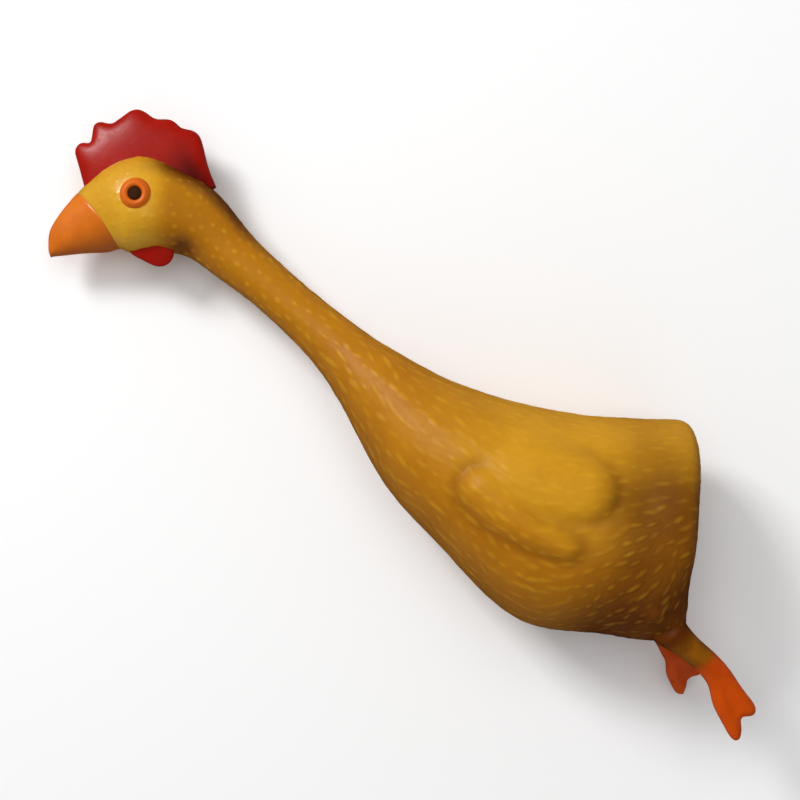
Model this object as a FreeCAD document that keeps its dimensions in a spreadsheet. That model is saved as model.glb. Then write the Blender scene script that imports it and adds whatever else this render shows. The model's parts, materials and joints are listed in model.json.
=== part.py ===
import FreeCAD, Part
import math
import os

# A squeaky rubber chicken, lying on its right side with its beak towards -X.
# Z is the bird's left flank, so a section of the bird is an ellipse that stands
# on the table: its depth runs in the X-Y plane and its breadth runs along Z.
# The moulding is hollow. It is divided where the soft wall bends, and each
# bending place is a ball-shaped joint whose two edges are concentric spheres.

doc = FreeCAD.newDocument("RubberChicken")
sheet = doc.addObject("Spreadsheet::Sheet", "Sizes")

# Sections from tail to face: x, y, z of the middle, half depth, half breadth,
# and the direction in degrees in which the tail end of the section faces.
TRUNK = [
    ("vent", 140.1, 27.4, 45.6, 31.5, 28.5, 29.6),
    ("rump", 139.5, 24.8, 45.6, 42.1, 37.5, 30.2),
    ("tail", 136.9, 21.9, 45.6, 49.4, 42.5, 30.5),
    ("hips", 128.6, 12.6, 45.6, 54.3, 45.5, 30.7),
    ("loin", 112.3, 1.9, 45.6, 54.1, 46.6, 30.7),
    ("back", 96.0, -8.1, 45.6, 53.9, 46.8, 30.1),
    ("belly", 75.5, -17.3, 45.2, 52.8, 45.6, 27.8),
    ("breast", 39.0, -19.3, 44.0, 40.7, 40, 17.0),
    ("shoulder", 2.4, -18.8, 41.4, 30.6, 30, 9.6),
    ("collar", -25.0, -12.8, 39.2, 21.4, 20.6, 1.6),
    ("neck_root", -43.6, -8.8, 36.6, 16.1, 15.6, -5.2),
    ("neck_low", -57.9, -6.5, 33.6, 14.0, 13.5, -7.5),
    ("neck_mid", -77.8, -4.4, 30.4, 12.6, 12.2, -10.6),
    ("neck_high", -103.5, -2.0, 27.4, 12.5, 12.1, -9.8),
    ("neck_top", -124.9, -0.2, 25.0, 14.2, 13.4, -1.7),
    ("nape", -142.0, 2.1, 23.8, 16.9, 15.4, 0.9),
    ("skull", -154.5, 1.4, 23.4, 19.9, 18.2, 10.8),
    ("crown_back", -165.6, -1.2, 23.3, 21.8, 20.4, 22.4),
    ("crown", -177.0, -6.5, 23.3, 24.9, 21.6, 32.5),
    ("brow", -184.6, -14.0, 23.2, 23.2, 19.6, 44.3),
    ("face", -189.7, -22.3, 23.0, 18.9, 14.6, 58.4),
    ("bill_seat", -192.5, -25.5, 22.8, 13.3, 9.6, 63.6),
]
BILL = [
    ("bill_root", -189.9, -24.9, 23, 18.9, 13.4, 65.7),
    ("bill_base", -192.6, -31.5, 22.8, 16.2, 11, 73.0),
    ("bill_mid", -196.9, -39.6, 22.6, 11.9, 8, 76.2),
    ("bill_end", -200.2, -49.0, 22.3, 6.5, 4.8, 79.4),
    ("bill_tip", -201.3, -53.9, 22, 2.8, 2.6, 64.7),
]
# Neck joints from the body to the head: x, y, z of the centre, radius of the
# ball, and the direction in which the tail side faces.
NECK_JOINTS = [
    ("neck_base", -41.7, -9.2, 36.9, 18.6, -4.5),
    ("neck_lower", -61.1, -6.2, 33.1, 15.4, -8.0),
    ("neck_middle", -82.5, -4.0, 29.8, 13.9, -10.5),
    ("neck_upper", -104.5, -1.9, 27.3, 13.8, -9.4),
    ("head_nod", -125.6, -0.1, 24.9, 15.8, -1.6),
]
# Legs: x, y, z of hip, ankle and the middle of the toes.
LEGS = {
    "left": {"hip": (156.0, -22.1, 66.0), "ankle": (189.5, -27.2, 60.0), "toes": (217.5, -39.3, 56.0)},
    "right": {"hip": (156.3, -23.0, 27.2), "ankle": (173.1, -31.1, 34.0), "toes": (196.5, -40.2, 8.0)},
}
# The comb's outline: one point ends a straight edge, two points are the middle and end of an arc.
COMB_START = (-206.6, -17.8)
COMB_EDGE = [
    ((-219.4, -6.5),),
    ((-221.7, -1.5), (-217.5, 3.4)),
    ((-220.6, 12.0), (-215.2, 16.4)),
    ((-212.2, 21.9), (-211.0, 26.3)),
    ((-208.6, 30.9), (-201.5, 31.9)),
    ((-195.7, 33.2), (-188.1, 37.2)),
    ((-183.5, 36.4), (-179.1, 38.3)),
    ((-174.5, 39.4), (-169.6, 34.8)),
    ((-151.3, 22.4),),
]
COMB_ROOT = [(-164.3, 12.6), (-195.6, -8.9)]
# The foot's outline from the ankle at the origin, with its toes towards +X.
FOOT_CORNERS = [
    (1.0, -6.2),
    (12.0, -7.2),
    (33.0, -9.6),
    (38.0, -7.8),
    (37.0, -4.6),
    (30.4, 0.4),
    (33.0, 5.2),
    (31.2, 8.0),
    (18.0, 6.8),
    (1.0, 6.2),
]

SIZES = {
    "wall": 2.4,
    "gap": 0.35,
    "comb_breadth": 7.0,
    "far": 260.0,
    "panel_length": 38.0,
    "panel_depth": 27.0,
    "panel_x": 82.1,
    "panel_y": -9.4,
    "panel_turn": 16.0,
    "thigh_radius": 13.0,
    "leg_root_radius": 11.8,
    "shin_radius": 7.6,
    "ankle_radius": 6.2,
    "knee_share": 0.66,
    "instep_length": 15.0,
    "foot_thickness": 6.4,
    "foot_edge": 2.4,
    "ankle_ball": 7.3,
    "mouth_x": -183.6,
    "mouth_y": -25.5,
    "mouth_turn": 67.0,
    "eye_x": -180.2,
    "eye_y": -4.5,
    "eye_lift": 20.4,
    "eye_ring_radius": 4.9,
    "eye_ring_tube": 2.7,
    "pupil_radius": 2.9,
    "wattle_x": -156.6,
    "wattle_y": -23.3,
    "wattle_apart": 5.6,
    "wattle_length": 9.4,
    "wattle_depth": 6.0,
    "wattle_breadth": 4.2,
    "wattle_turn": 35.0,
    "collar_radius": 10.8,
    "collar_play": 0.1,
    "cutter_excess": 1.0,
    "flange": 1.8,
    "flange_radius": 13.4,
    "barrel_radius": 8.6,
    "bore_radius": 6.8,
    "front_wall": 1.6,
    "squeaker_length": 14.0,
    "mouth_radius": 3.2,
    "disc_length": 3.0,
    "trough_length": 9.6,
    "trough_radius": 3.6,
    "channel_radius": 2.2,
    "reed_length": 9.0,
    "reed_width": 4.8,
    "reed_thickness": 0.3,
    "reed_lift": 0.15,
}


def fill_sheet():
    """Write every driving dimension to the sheet, one row each."""
    rows = list(SIZES.items())
    for name, x, y, z, depth, breadth, turn in TRUNK + BILL:
        rows += [(name + "_x", x), (name + "_y", y), (name + "_z", z)]
        rows += [(name + "_depth", depth), (name + "_breadth", breadth), (name + "_turn", turn)]
    for name, x, y, z, radius, turn in NECK_JOINTS:
        rows += [(name + "_ball_x", x), (name + "_ball_y", y), (name + "_ball_z", z)]
        rows += [(name + "_ball_radius", radius), (name + "_ball_turn", turn)]
    for side, places in LEGS.items():
        for place, point in places.items():
            for axis, value in zip("xyz", point):
                rows.append((side + "_" + place + "_" + axis, value))
    for number, (name, value) in enumerate(rows, start=1):
        sheet.set("A%d" % number, name)
        sheet.set("B%d" % number, str(value))
        sheet.setAlias("B%d" % number, name)
    doc.recompute()


def size(name):
    """The sheet's value under an alias."""
    return float(sheet.get(name))


def point(name):
    """A place in the sheet, from its three cells."""
    return FreeCAD.Vector(size(name + "_x"), size(name + "_y"), size(name + "_z"))


def bind(item, **formulas):
    """Tie an object's sizes to cells of the sheet."""
    for prop, formula in formulas.items():
        item.setExpression(prop, formula)
    return item


def place_on_cells(item, name):
    """Tie the position of an object to three cells."""
    for axis in "xyz":
        item.setExpression("Placement.Base." + axis, "Sizes." + name + "_" + axis)
    return item


def make(kind, name):
    """A new object of the document, with its label."""
    item = doc.addObject(kind, name)
    item.Label = name
    return item


def cut(name, base, tool):
    item = make("Part::Cut", name)
    item.Base = base
    item.Tool = tool
    return item


def common(name, base, tool):
    item = make("Part::Common", name)
    item.Base = base
    item.Tool = tool
    return item


def fuse(name, pieces):
    item = make("Part::MultiFuse", name)
    item.Shapes = pieces
    return item


def standing(turn):
    """The turn of a standing section: local X crosses the bird, local Z faces the tail."""
    angle = math.radians(turn)
    across = FreeCAD.Vector(-math.sin(angle), math.cos(angle), 0)
    tailward = FreeCAD.Vector(math.cos(angle), math.sin(angle), 0)
    return FreeCAD.Rotation(across, FreeCAD.Vector(0, 0, 1), tailward, "ZXY")


def section(name, suffix, inset, shift=0.0):
    """One elliptic section of the bird, drawn in by inset and moved tailward by shift."""
    item = make("Part::Ellipse", name + suffix)
    reduction = " - %g * Sizes.wall" % inset if inset else ""
    bind(item, MajorRadius="Sizes.%s_depth%s" % (name, reduction),
         MinorRadius="Sizes.%s_breadth%s" % (name, reduction))
    turn = standing(size(name + "_turn"))
    item.Placement = FreeCAD.Placement(point(name) + turn.multVec(FreeCAD.Vector(0, 0, shift)), turn)
    if not shift:
        place_on_cells(item, name)
    return item


def loft(name, sections):
    item = make("Part::Loft", name)
    item.Sections = sections
    item.Solid = True
    item.Ruled = False
    return item


def make_skin():
    """The whole hollow moulding: trunk, neck and head, flattened where it rests on the table."""
    names = [row[0] for row in TRUNK]
    outer = loft("outer_form", [section(name, "_out", 0) for name in names])
    thickness = size("wall")
    inner_sections = [section(names[0], "_in", 1.0, -thickness)]
    inner_sections += [section(name, "_in", 1.0) for name in names[2:-1]]
    inner_sections.append(section(names[-1], "_in", 1.0, thickness))
    inner = loft("inner_form", inner_sections)
    hollow = cut("hollow_form", outer, inner)
    table = make("Part::Box", "table")
    bind(table, Length="2 * Sizes.far", Width="Sizes.far", Height="Sizes.far")
    table.Placement.Base = FreeCAD.Vector(-size("far"), -size("far") / 2, -size("far"))
    return outer, cut("skin_form", hollow, table), table


def head_side(name, radius_formula):
    """Everything on the head's side of a neck joint, with a ball taken out of it."""
    turn = standing(size(name + "_ball_turn"))
    centre = point(name + "_ball")
    block = make("Part::Box", radius_formula[0] + name + "_block")
    bind(block, Length="Sizes.far", Width="Sizes.far", Height="Sizes.far")
    half = size("far") / 2
    block.Placement = FreeCAD.Placement(centre + turn.multVec(FreeCAD.Vector(-half, -half, -2 * half)), turn)
    ball = make("Part::Sphere", radius_formula[0] + name + "_ball")
    bind(ball, Radius=radius_formula[1])
    ball.Placement.Base = centre
    return cut(radius_formula[0] + name, block, ball)


def divide_skin(skin):
    """Cut the moulding at its neck joints, each edge on its own sphere."""
    pieces = []
    remaining = skin
    labels = ["trunk_form", "neck_skin_1", "neck_skin_2", "neck_skin_3", "neck_skin_4", "head_skin"]
    for index, joint in enumerate(NECK_JOINTS):
        name = joint[0]
        radius = "Sizes.%s_ball_radius" % name
        beyond = head_side(name, ("beyond_", radius))
        past = head_side(name, ("past_", radius + " + Sizes.gap"))
        pieces.append(cut(labels[index], remaining, beyond))
        remaining = common("rest_" + name, skin, past)
    remaining.Label = labels[-1]
    pieces.append(remaining)
    return pieces


def make_flank_panel(trunk):
    """The soft left flank under the wing, which gives way when it is squeezed."""
    turn = FreeCAD.Rotation(FreeCAD.Vector(0, 0, 1), size("panel_turn"))
    start = FreeCAD.Vector(size("panel_x"), size("panel_y"), point("back").z)
    solids = []
    for name, margin in (("panel_edge", ""), ("panel_hole", " + Sizes.gap")):
        outline = make("Part::Ellipse", name + "_line")
        bind(outline, MajorRadius="Sizes.panel_length" + margin, MinorRadius="Sizes.panel_depth" + margin)
        outline.Placement = FreeCAD.Placement(start, turn)
        column = make("Part::Extrusion", name)
        column.Base = outline
        column.Dir = FreeCAD.Vector(0, 0, 1)
        column.LengthFwd = size("back_breadth") * 2
        column.Solid = True
        solids.append(column)
    panel = common("flank_panel", trunk, solids[0])
    shell = cut("open_trunk", trunk, solids[1])
    return panel, shell


def rod(name, start, end, start_radius, end_radius):
    """A tapered rod between two places, its radii tied to the sheet."""
    item = make("Part::Cone", name)
    bind(item, Radius1=start_radius, Radius2=end_radius)
    item.Height = (end - start).Length
    item.Placement = FreeCAD.Placement(start, FreeCAD.Rotation(FreeCAD.Vector(0, 0, 1), end - start))
    return item


def ball(name, centre, radius):
    item = make("Part::Sphere", name)
    bind(item, Radius=radius)
    item.Placement.Base = centre
    return item


def make_leg(side, outer, table):
    """One thigh on the body, and the shin that swings on it."""
    hip = point(side + "_hip")
    ankle = point(side + "_ankle")
    along = (ankle - hip).normalize()
    thigh_ball = ball(side + "_thigh_ball", hip, "Sizes.thigh_radius")
    thigh = cut("thigh_" + side, cut(side + "_thigh_above", thigh_ball, table), outer)
    knee = hip + along * ((ankle - hip).Length * size("knee_share"))
    upper = rod(side + "_upper_leg", hip, knee, "Sizes.leg_root_radius", "Sizes.shin_radius")
    lower = rod(side + "_lower_leg", knee, ankle, "Sizes.shin_radius", "Sizes.ankle_radius")
    end = ball(side + "_ankle_end", ankle, "Sizes.ankle_ball")
    whole = fuse(side + "_whole_leg", [upper, lower, end])
    socket = ball(side + "_hip_socket", hip, "Sizes.thigh_radius + Sizes.gap")
    return thigh, cut("leg_" + side, whole, socket)


def foot_sketch(body, name):
    """The outline of a paddle foot with two toes, from the ankle at the origin."""
    sketch = body.newObject("Sketcher::SketchObject", name)
    sketch.AttachmentSupport = [(own_plane(body), "")]
    sketch.MapMode = "FlatFace"
    points = [FreeCAD.Vector(x, y, 0) for x, y in FOOT_CORNERS]
    for start, end in zip(points, points[1:] + points[:1]):
        sketch.addGeometry(Part.LineSegment(start, end), False)
    return sketch


def make_foot(side):
    """A flat webbed foot on the ankle, with a socket that turns on the ankle's ball."""
    body = make("PartDesign::Body", side + "_foot_body")
    sketch = foot_sketch(body, side + "_foot_sketch")
    pad = body.newObject("PartDesign::Pad", side + "_foot_pad")
    pad.Profile = sketch
    pad.Midplane = True
    bind(pad, Length="Sizes.foot_thickness")
    doc.recompute()
    rounding = body.newObject("PartDesign::Fillet", side + "_foot_edge")
    rounding.Base = (pad, ["Face%d" % (len(pad.Shape.Faces) - 1), "Face%d" % len(pad.Shape.Faces)])
    bind(rounding, Radius="Sizes.foot_edge")
    ankle = point(side + "_ankle")
    along = (point(side + "_toes") - ankle).normalize()
    across = FreeCAD.Vector(0, 0, 1).cross(along).normalize()
    body.Placement = FreeCAD.Placement(ankle, FreeCAD.Rotation(along, across, along.cross(across), "XYZ"))
    instep_end = ankle + along * size("instep_length")
    instep = rod(side + "_instep", ankle, instep_end, "Sizes.ankle_radius", "Sizes.foot_thickness / 2")
    whole = fuse(side + "_whole_foot", [body, instep])
    socket = ball(side + "_ankle_socket", ankle, "Sizes.ankle_ball + Sizes.gap")
    return cut("foot_" + side, whole, socket)


def own_plane(body):
    """The X-Y origin plane of a body."""
    return [item for item in body.Origin.OriginFeatures if item.Role == "XY_Plane"][0]


def make_comb(outer):
    """Five soft lobes in one thick blade along the crown."""
    body = make("PartDesign::Body", "comb_body")
    sketch = body.newObject("Sketcher::SketchObject", "comb_sketch")
    sketch.AttachmentSupport = [(own_plane(body), "")]
    sketch.MapMode = "FlatFace"
    here = FreeCAD.Vector(*COMB_START, 0)
    for edge in COMB_EDGE + [(corner,) for corner in COMB_ROOT + [COMB_START]]:
        places = [FreeCAD.Vector(*place, 0) for place in edge]
        curve = Part.Arc(here, *places) if len(places) == 2 else Part.LineSegment(here, places[0])
        sketch.addGeometry(curve, False)
        here = places[-1]
    pad = body.newObject("PartDesign::Pad", "comb_pad")
    pad.Profile = sketch
    pad.Midplane = True
    bind(pad, Length="2 * Sizes.comb_breadth")
    body.Placement.Base = FreeCAD.Vector(0, 0, point("crown").z)
    return cut("comb", body, outer)


def make_bill(outer):
    """The hooked bill, in an upper and a lower half that meet along a closed mouth line."""
    form = loft("bill_form", [section(row[0], "_out", 0) for row in BILL])
    clear = cut("bill_clear", form, outer)
    mouth = make("Part::Box", "mouth_block")
    bind(mouth, Length="Sizes.far", Width="Sizes.far", Height="Sizes.far")
    turn = FreeCAD.Rotation(FreeCAD.Vector(0, 0, 1), size("mouth_turn"))
    corner = FreeCAD.Vector(size("mouth_x"), size("mouth_y"), -size("far") / 2)
    mouth.Placement = FreeCAD.Placement(corner + turn.multVec(FreeCAD.Vector(-size("far"), 0, 0)), turn)
    return common("upper_bill", clear, mouth), cut("lower_bill", clear, mouth)


def make_eye(side, outer):
    """A raised ring and a dark pupil on one side of the head."""
    sign = 1.0 if side == "left" else -1.0
    centre = FreeCAD.Vector(size("eye_x"), size("eye_y"), point("crown").z + sign * size("eye_lift"))
    torus = make("Part::Torus", side + "_eye_torus")
    bind(torus, Radius1="Sizes.eye_ring_radius", Radius2="Sizes.eye_ring_tube")
    torus.Placement.Base = centre
    ring = cut("eye_ring_" + side, torus, outer)
    bead = ball(side + "_eye_bead", centre, "Sizes.pupil_radius")
    apart = cut(side + "_eye_bead_apart", bead, outer)
    pupil = cut("pupil_" + side, apart, torus)
    return ring, pupil


def make_wattle(side, outer):
    """A drop of red skin that hangs from one side of the throat."""
    sign = 1.0 if side == "left" else -1.0
    item = make("Part::Ellipsoid", side + "_wattle_form")
    bind(item, Radius2="Sizes.wattle_length", Radius3="Sizes.wattle_depth", Radius1="Sizes.wattle_breadth")
    item.Placement = FreeCAD.Placement(
        FreeCAD.Vector(size("wattle_x"), size("wattle_y"), point("crown").z + sign * size("wattle_apart")),
        FreeCAD.Rotation(FreeCAD.Vector(0, 0, 1), size("wattle_turn")))
    return cut("wattle_" + side, item, outer)


def tube_part(name, start, length, radius):
    """A cylinder on the squeaker's axis; start counts inward from the vent's outer face."""
    item = make("Part::Cylinder", name)
    bind(item, Radius=radius, Height=length)
    item.recompute()
    turn = standing(size("vent_turn"))
    inward = turn.multVec(FreeCAD.Vector(0, 0, -1))
    depth = start + float(item.Height)
    item.Placement = FreeCAD.Placement(point("vent") + inward * depth, turn)
    return item


def make_squeaker(trunk):
    """A plug in the vent with a flange behind the wall, a seat in it and a thin reed on the seat."""
    wall = size("wall")
    flange = wall + size("flange")
    length = size("squeaker_length")
    outside = -size("cutter_excess")
    hole = tube_part("vent_hole", outside, "3 * Sizes.wall", "Sizes.collar_radius + Sizes.collar_play")
    collar = tube_part("squeaker_collar", 0.0, "Sizes.wall", "Sizes.collar_radius")
    rim = tube_part("squeaker_rim", wall, "Sizes.flange", "Sizes.flange_radius")
    barrel = tube_part("squeaker_barrel", flange, "Sizes.squeaker_length", "Sizes.barrel_radius")
    whole = fuse("squeaker_solid", [collar, rim, barrel])
    bore = tube_part("squeaker_bore", size("front_wall"), "2 * Sizes.squeaker_length", "Sizes.bore_radius")
    mouth = tube_part("sound_hole", outside, "Sizes.squeaker_length", "Sizes.mouth_radius")
    body = cut("squeaker_body", cut("squeaker_shell", whole, bore), mouth)

    disc_start = flange + length - size("disc_length")
    disc = tube_part("seat_disc", disc_start, "Sizes.disc_length", "Sizes.bore_radius")
    trough = tube_part("seat_trough", disc_start - size("trough_length"),
                       "Sizes.trough_length + Sizes.disc_length / 2", "Sizes.trough_radius")
    channel = tube_part("seat_channel", disc_start - size("trough_length") + size("front_wall"),
                        "2 * Sizes.squeaker_length", "Sizes.channel_radius")
    turn = standing(size("vent_turn"))
    above = make("Part::Box", "seat_above")
    bind(above, Length="4 * Sizes.bore_radius", Width="2 * Sizes.bore_radius", Height="Sizes.trough_length")
    corner = FreeCAD.Vector(-2 * size("bore_radius"), 0, -disc_start)
    above.Placement = FreeCAD.Placement(point("vent") + turn.multVec(corner), turn)
    seat = cut("reed_seat", cut("seat_solid", fuse("seat_form", [disc, trough]), channel), above)

    reed = make("Part::Box", "reed")
    bind(reed, Length="Sizes.reed_width", Width="Sizes.reed_thickness", Height="Sizes.reed_length")
    root = FreeCAD.Vector(-size("reed_width") / 2, size("reed_lift"), -disc_start + size("reed_lift"))
    reed.Placement = FreeCAD.Placement(point("vent") + turn.multVec(root), turn)
    return cut("torso_skin", trunk, hole), body, seat, reed


fill_sheet()
outer, skin, table = make_skin()
pieces = divide_skin(skin)
panel, trunk = make_flank_panel(pieces[0])
comb = make_comb(outer)
upper_bill, lower_bill = make_bill(outer)
nodes = {"flank_panel": panel, "comb": comb, "upper_bill": upper_bill, "lower_bill": lower_bill}
nodes["torso_skin"], nodes["squeaker_body"], nodes["reed_seat"], nodes["reed"] = make_squeaker(trunk)
for number in range(1, 5):
    nodes["neck_skin_%d" % number] = pieces[number]
nodes["head_skin"] = pieces[5]
for side in ("left", "right"):
    nodes["thigh_" + side], nodes["leg_" + side] = make_leg(side, outer, table)
    nodes["foot_" + side] = make_foot(side)
    nodes["eye_ring_" + side], nodes["pupil_" + side] = make_eye(side, outer)
    nodes["wattle_" + side] = make_wattle(side, outer)
doc.recompute()

os.makedirs("parts", exist_ok=True)
for item in doc.Objects:
    if "Invalid" in item.State or "Error" in item.State:
        raise RuntimeError("failed object: " + item.Label)
for name, item in nodes.items():
    if item.Shape.isNull() or not item.Shape.isValid():
        raise RuntimeError("bad shape: " + name)
    item.Shape.exportStep("parts/" + name + ".step")
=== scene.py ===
"""A squeaky rubber chicken lying on its side: its soft skin with wings and pimples, comb, bill, eyes,
wattles, legs and webbed feet, built around the CAD frame. Lengths in the tables are millimetres."""

import json
import math

import bpy
import numpy as np
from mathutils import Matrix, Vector
from mathutils.geometry import delaunay_2d_cdt


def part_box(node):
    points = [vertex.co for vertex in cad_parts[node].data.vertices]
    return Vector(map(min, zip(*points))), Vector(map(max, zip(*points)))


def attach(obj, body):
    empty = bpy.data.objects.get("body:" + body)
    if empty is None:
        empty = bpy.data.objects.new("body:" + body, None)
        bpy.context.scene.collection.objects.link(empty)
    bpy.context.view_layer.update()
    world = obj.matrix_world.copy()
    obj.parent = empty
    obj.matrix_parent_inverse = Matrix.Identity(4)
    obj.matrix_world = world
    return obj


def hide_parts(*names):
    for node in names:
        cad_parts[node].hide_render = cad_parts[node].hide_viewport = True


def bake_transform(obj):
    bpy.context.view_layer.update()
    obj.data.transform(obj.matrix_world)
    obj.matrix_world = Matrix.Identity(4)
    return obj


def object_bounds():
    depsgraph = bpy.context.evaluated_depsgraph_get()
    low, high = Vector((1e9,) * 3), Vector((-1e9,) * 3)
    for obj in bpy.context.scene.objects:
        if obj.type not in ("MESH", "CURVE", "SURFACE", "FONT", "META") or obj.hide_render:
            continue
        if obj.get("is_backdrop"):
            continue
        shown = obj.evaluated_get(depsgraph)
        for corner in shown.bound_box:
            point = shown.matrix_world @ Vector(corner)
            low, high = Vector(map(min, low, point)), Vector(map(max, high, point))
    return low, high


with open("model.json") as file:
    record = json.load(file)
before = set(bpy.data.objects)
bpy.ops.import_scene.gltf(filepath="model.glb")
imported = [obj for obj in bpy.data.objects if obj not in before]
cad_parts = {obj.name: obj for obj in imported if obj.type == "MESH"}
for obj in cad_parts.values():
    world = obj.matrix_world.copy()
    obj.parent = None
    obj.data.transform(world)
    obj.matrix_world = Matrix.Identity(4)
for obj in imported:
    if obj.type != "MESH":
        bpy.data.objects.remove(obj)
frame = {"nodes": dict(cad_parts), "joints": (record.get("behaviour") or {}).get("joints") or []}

bl_info = {
    "name": "Rubber chicken",
    "version": (1, 0, 0),
    "blender": (4, 5, 0),
    "location": "View3D > Sidebar > Chicken",
    "description": "Builds a hollow squeaky rubber chicken and the stage it lies on",
    "category": "Add Mesh",
}

MM = 0.001
JOINTS = {joint["name"]: joint for joint in frame["joints"]}

# Sections of the bird from tail to bill tip: x, y, z of the middle, half depth, half breadth,
# and the direction in degrees in which the tail end of the section faces.
SECTIONS = np.array([
    (140.1, 27.4, 45.6, 31.5, 28.5, 29.6),
    (139.5, 24.8, 45.6, 42.1, 37.5, 30.2),
    (136.9, 21.9, 45.6, 49.4, 42.5, 30.5),
    (128.6, 12.6, 45.6, 54.3, 45.5, 30.7),
    (112.3, 1.9, 45.6, 54.1, 46.6, 30.7),
    (96.0, -8.1, 45.6, 53.9, 46.8, 30.1),
    (75.5, -17.3, 45.2, 52.8, 45.6, 27.8),
    (39.0, -19.3, 44.0, 40.7, 40.0, 17.0),
    (2.4, -18.8, 41.4, 30.6, 30.0, 9.6),
    (-25.0, -12.8, 39.2, 21.4, 20.6, 1.6),
    (-43.6, -8.8, 36.6, 16.1, 15.6, -5.2),
    (-57.9, -6.5, 33.6, 14.0, 13.5, -7.5),
    (-77.8, -4.4, 30.4, 12.6, 12.2, -10.6),
    (-103.5, -2.0, 27.4, 12.5, 12.1, -9.8),
    (-124.9, -0.2, 25.0, 14.2, 13.4, -1.7),
    (-142.0, 2.1, 23.8, 16.9, 15.4, 0.9),
    (-154.5, 1.4, 23.4, 19.9, 18.2, 10.8),
    (-165.6, -1.2, 23.3, 21.8, 20.4, 22.4),
    (-177.0, -6.5, 23.3, 24.9, 21.6, 32.5),
    (-184.6, -14.0, 23.2, 23.2, 19.6, 44.3),
    (-189.7, -22.3, 23.0, 18.9, 14.6, 58.4),
    (-192.4, -31.6, 22.8, 16.3, 10.9, 73.0),
    (-196.6, -40.0, 22.6, 12.2, 7.9, 76.0),
    (-200.2, -48.8, 22.3, 7.0, 4.8, 76.0),
    (-201.3, -54.2, 22.0, 2.6, 2.4, 55.0),
])
HEAD_PLANE = 23.3
EYE_SHIFT = np.array([1.0, -0.2, 0.0])
VENT_HOLE = 10.95
SKIN_WALL = 2.4

# Where the bill's paint begins on each side of the face: a place on its edge, the way the edge
# runs and how far its middle bows back towards the eye.
BILL_EDGE = {"place": (-187.6, -27.0), "along": (0.939, -0.345), "half": 17.5, "bow": 2.4}

# Swellings of the folded wing, each a row of circles: x, y, radius.
UPPER_WING = [(84.5, 8.0, 14.0), (71.9, 4.5, 16.6), (55.0, 0.5, 16.6)]
LOWER_WING = [(46.3, -22.6, 10.6), (59.7, -23.8, 10.4), (76.8, -23.4, 8.2), (94.6, -21.0, 5.0)]
WING_FOLD = [(93.0, -9.0), (86.0, -11.6), (79.5, -15.2), (72.3, -17.2), (62.0, -17.6)]

# Soft bumps (or hollows) on both flanks: x, y, radius, height.
SWELLINGS = [
    (110.0, 19.0, 12.0, -3.2),
    (127.0, 30.0, 13.0, -1.0),
    (-169.2, -15.0, 10.0, 1.1),
    (-160.5, -10.0, 8.0, 0.8),
    (-145.0, -12.5, 5.5, -1.6),
    (-137.0, -9.5, 6.0, -0.6),
]
# Small folds in the skin round the legs, written the same way.
THIGH_LUMPS = [(147.6, -22.5, 3.0, 1.3), (155.2, -25.0, 3.2, 1.4), (157.6, -17.6, 2.6, 1.0),
               (151.5, -17.5, 2.4, -0.9), (151.8, -26.5, 1.8, -0.8)]

# The comb's rim from above the bill to the nape, then its root inside the head.
COMB_RIM = [(-206.3, -17.0), (-209.8, -14.2), (-213.3, -11.4), (-218.2, -7.6), (-221.2, -4.6),
            (-221.6, -1.4), (-219.6, 1.4), (-217.3, 3.2), (-218.0, 5.4), (-219.7, 8.6),
            (-220.9, 12.0), (-219.3, 14.8), (-215.9, 16.4), (-213.6, 18.2), (-212.6, 20.8),
            (-211.4, 24.6), (-210.2, 28.2), (-207.6, 31.2), (-204.6, 32.3), (-200.4, 32.4),
            (-197.0, 32.9), (-193.8, 35.0), (-191.0, 36.7), (-187.8, 37.1), (-184.2, 36.8),
            (-180.8, 38.0), (-177.2, 39.2), (-174.0, 38.7), (-171.0, 36.9), (-166.6, 33.2),
            (-161.6, 29.0), (-156.6, 25.6), (-151.6, 22.6)]
COMB_ROOT = [(-158.0, 15.5), (-172.0, 9.5), (-186.0, 4.0), (-196.5, -7.5), (-200.0, -15.5)]

# A wattle's free rim and its root inside the throat.
WATTLE_RIM = [(-170.0, -29.0), (-166.5, -30.4), (-160.5, -29.9), (-155.0, -29.0), (-150.8, -27.4),
              (-148.0, -24.0), (-147.6, -20.0), (-149.6, -16.0), (-151.4, -14.0)]
WATTLE_ROOT = [(-156.0, -13.0), (-163.0, -16.0), (-169.0, -21.5)]

# A leg from inside the thigh (negative) to the toes; zero is the ankle.
LEG_RIM = [(-47.0, 5.0), (-44.0, 9.0), (-39.0, 10.6), (-33.9, 9.1), (-27.6, 7.2), (-20.0, 6.0),
           (-15.0, 5.8), (-8.5, 6.1), (-1.0, 6.7), (4.0, 7.3), (9.0, 7.8), (16.0, 8.2),
           (22.0, 8.9), (26.5, 9.4), (30.0, 8.9), (31.8, 7.1), (31.6, 4.6), (30.6, 2.6),
           (30.2, 1.0), (31.8, -0.6), (34.6, -1.8), (37.4, -3.7), (38.9, -5.6), (38.7, -7.4), (36.4, -8.7),
           (32.6, -9.0), (27.0, -8.9), (21.0, -8.7), (16.0, -8.1), (11.0, -6.6), (6.0, -5.6), (0.0, -5.8),
           (-7.0, -6.3), (-13.0, -6.9), (-18.0, -7.7), (-26.4, -9.7), (-31.5, -10.7), (-38.0, -11.6),
           (-44.0, -10.6), (-47.6, -6.0)]
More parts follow.
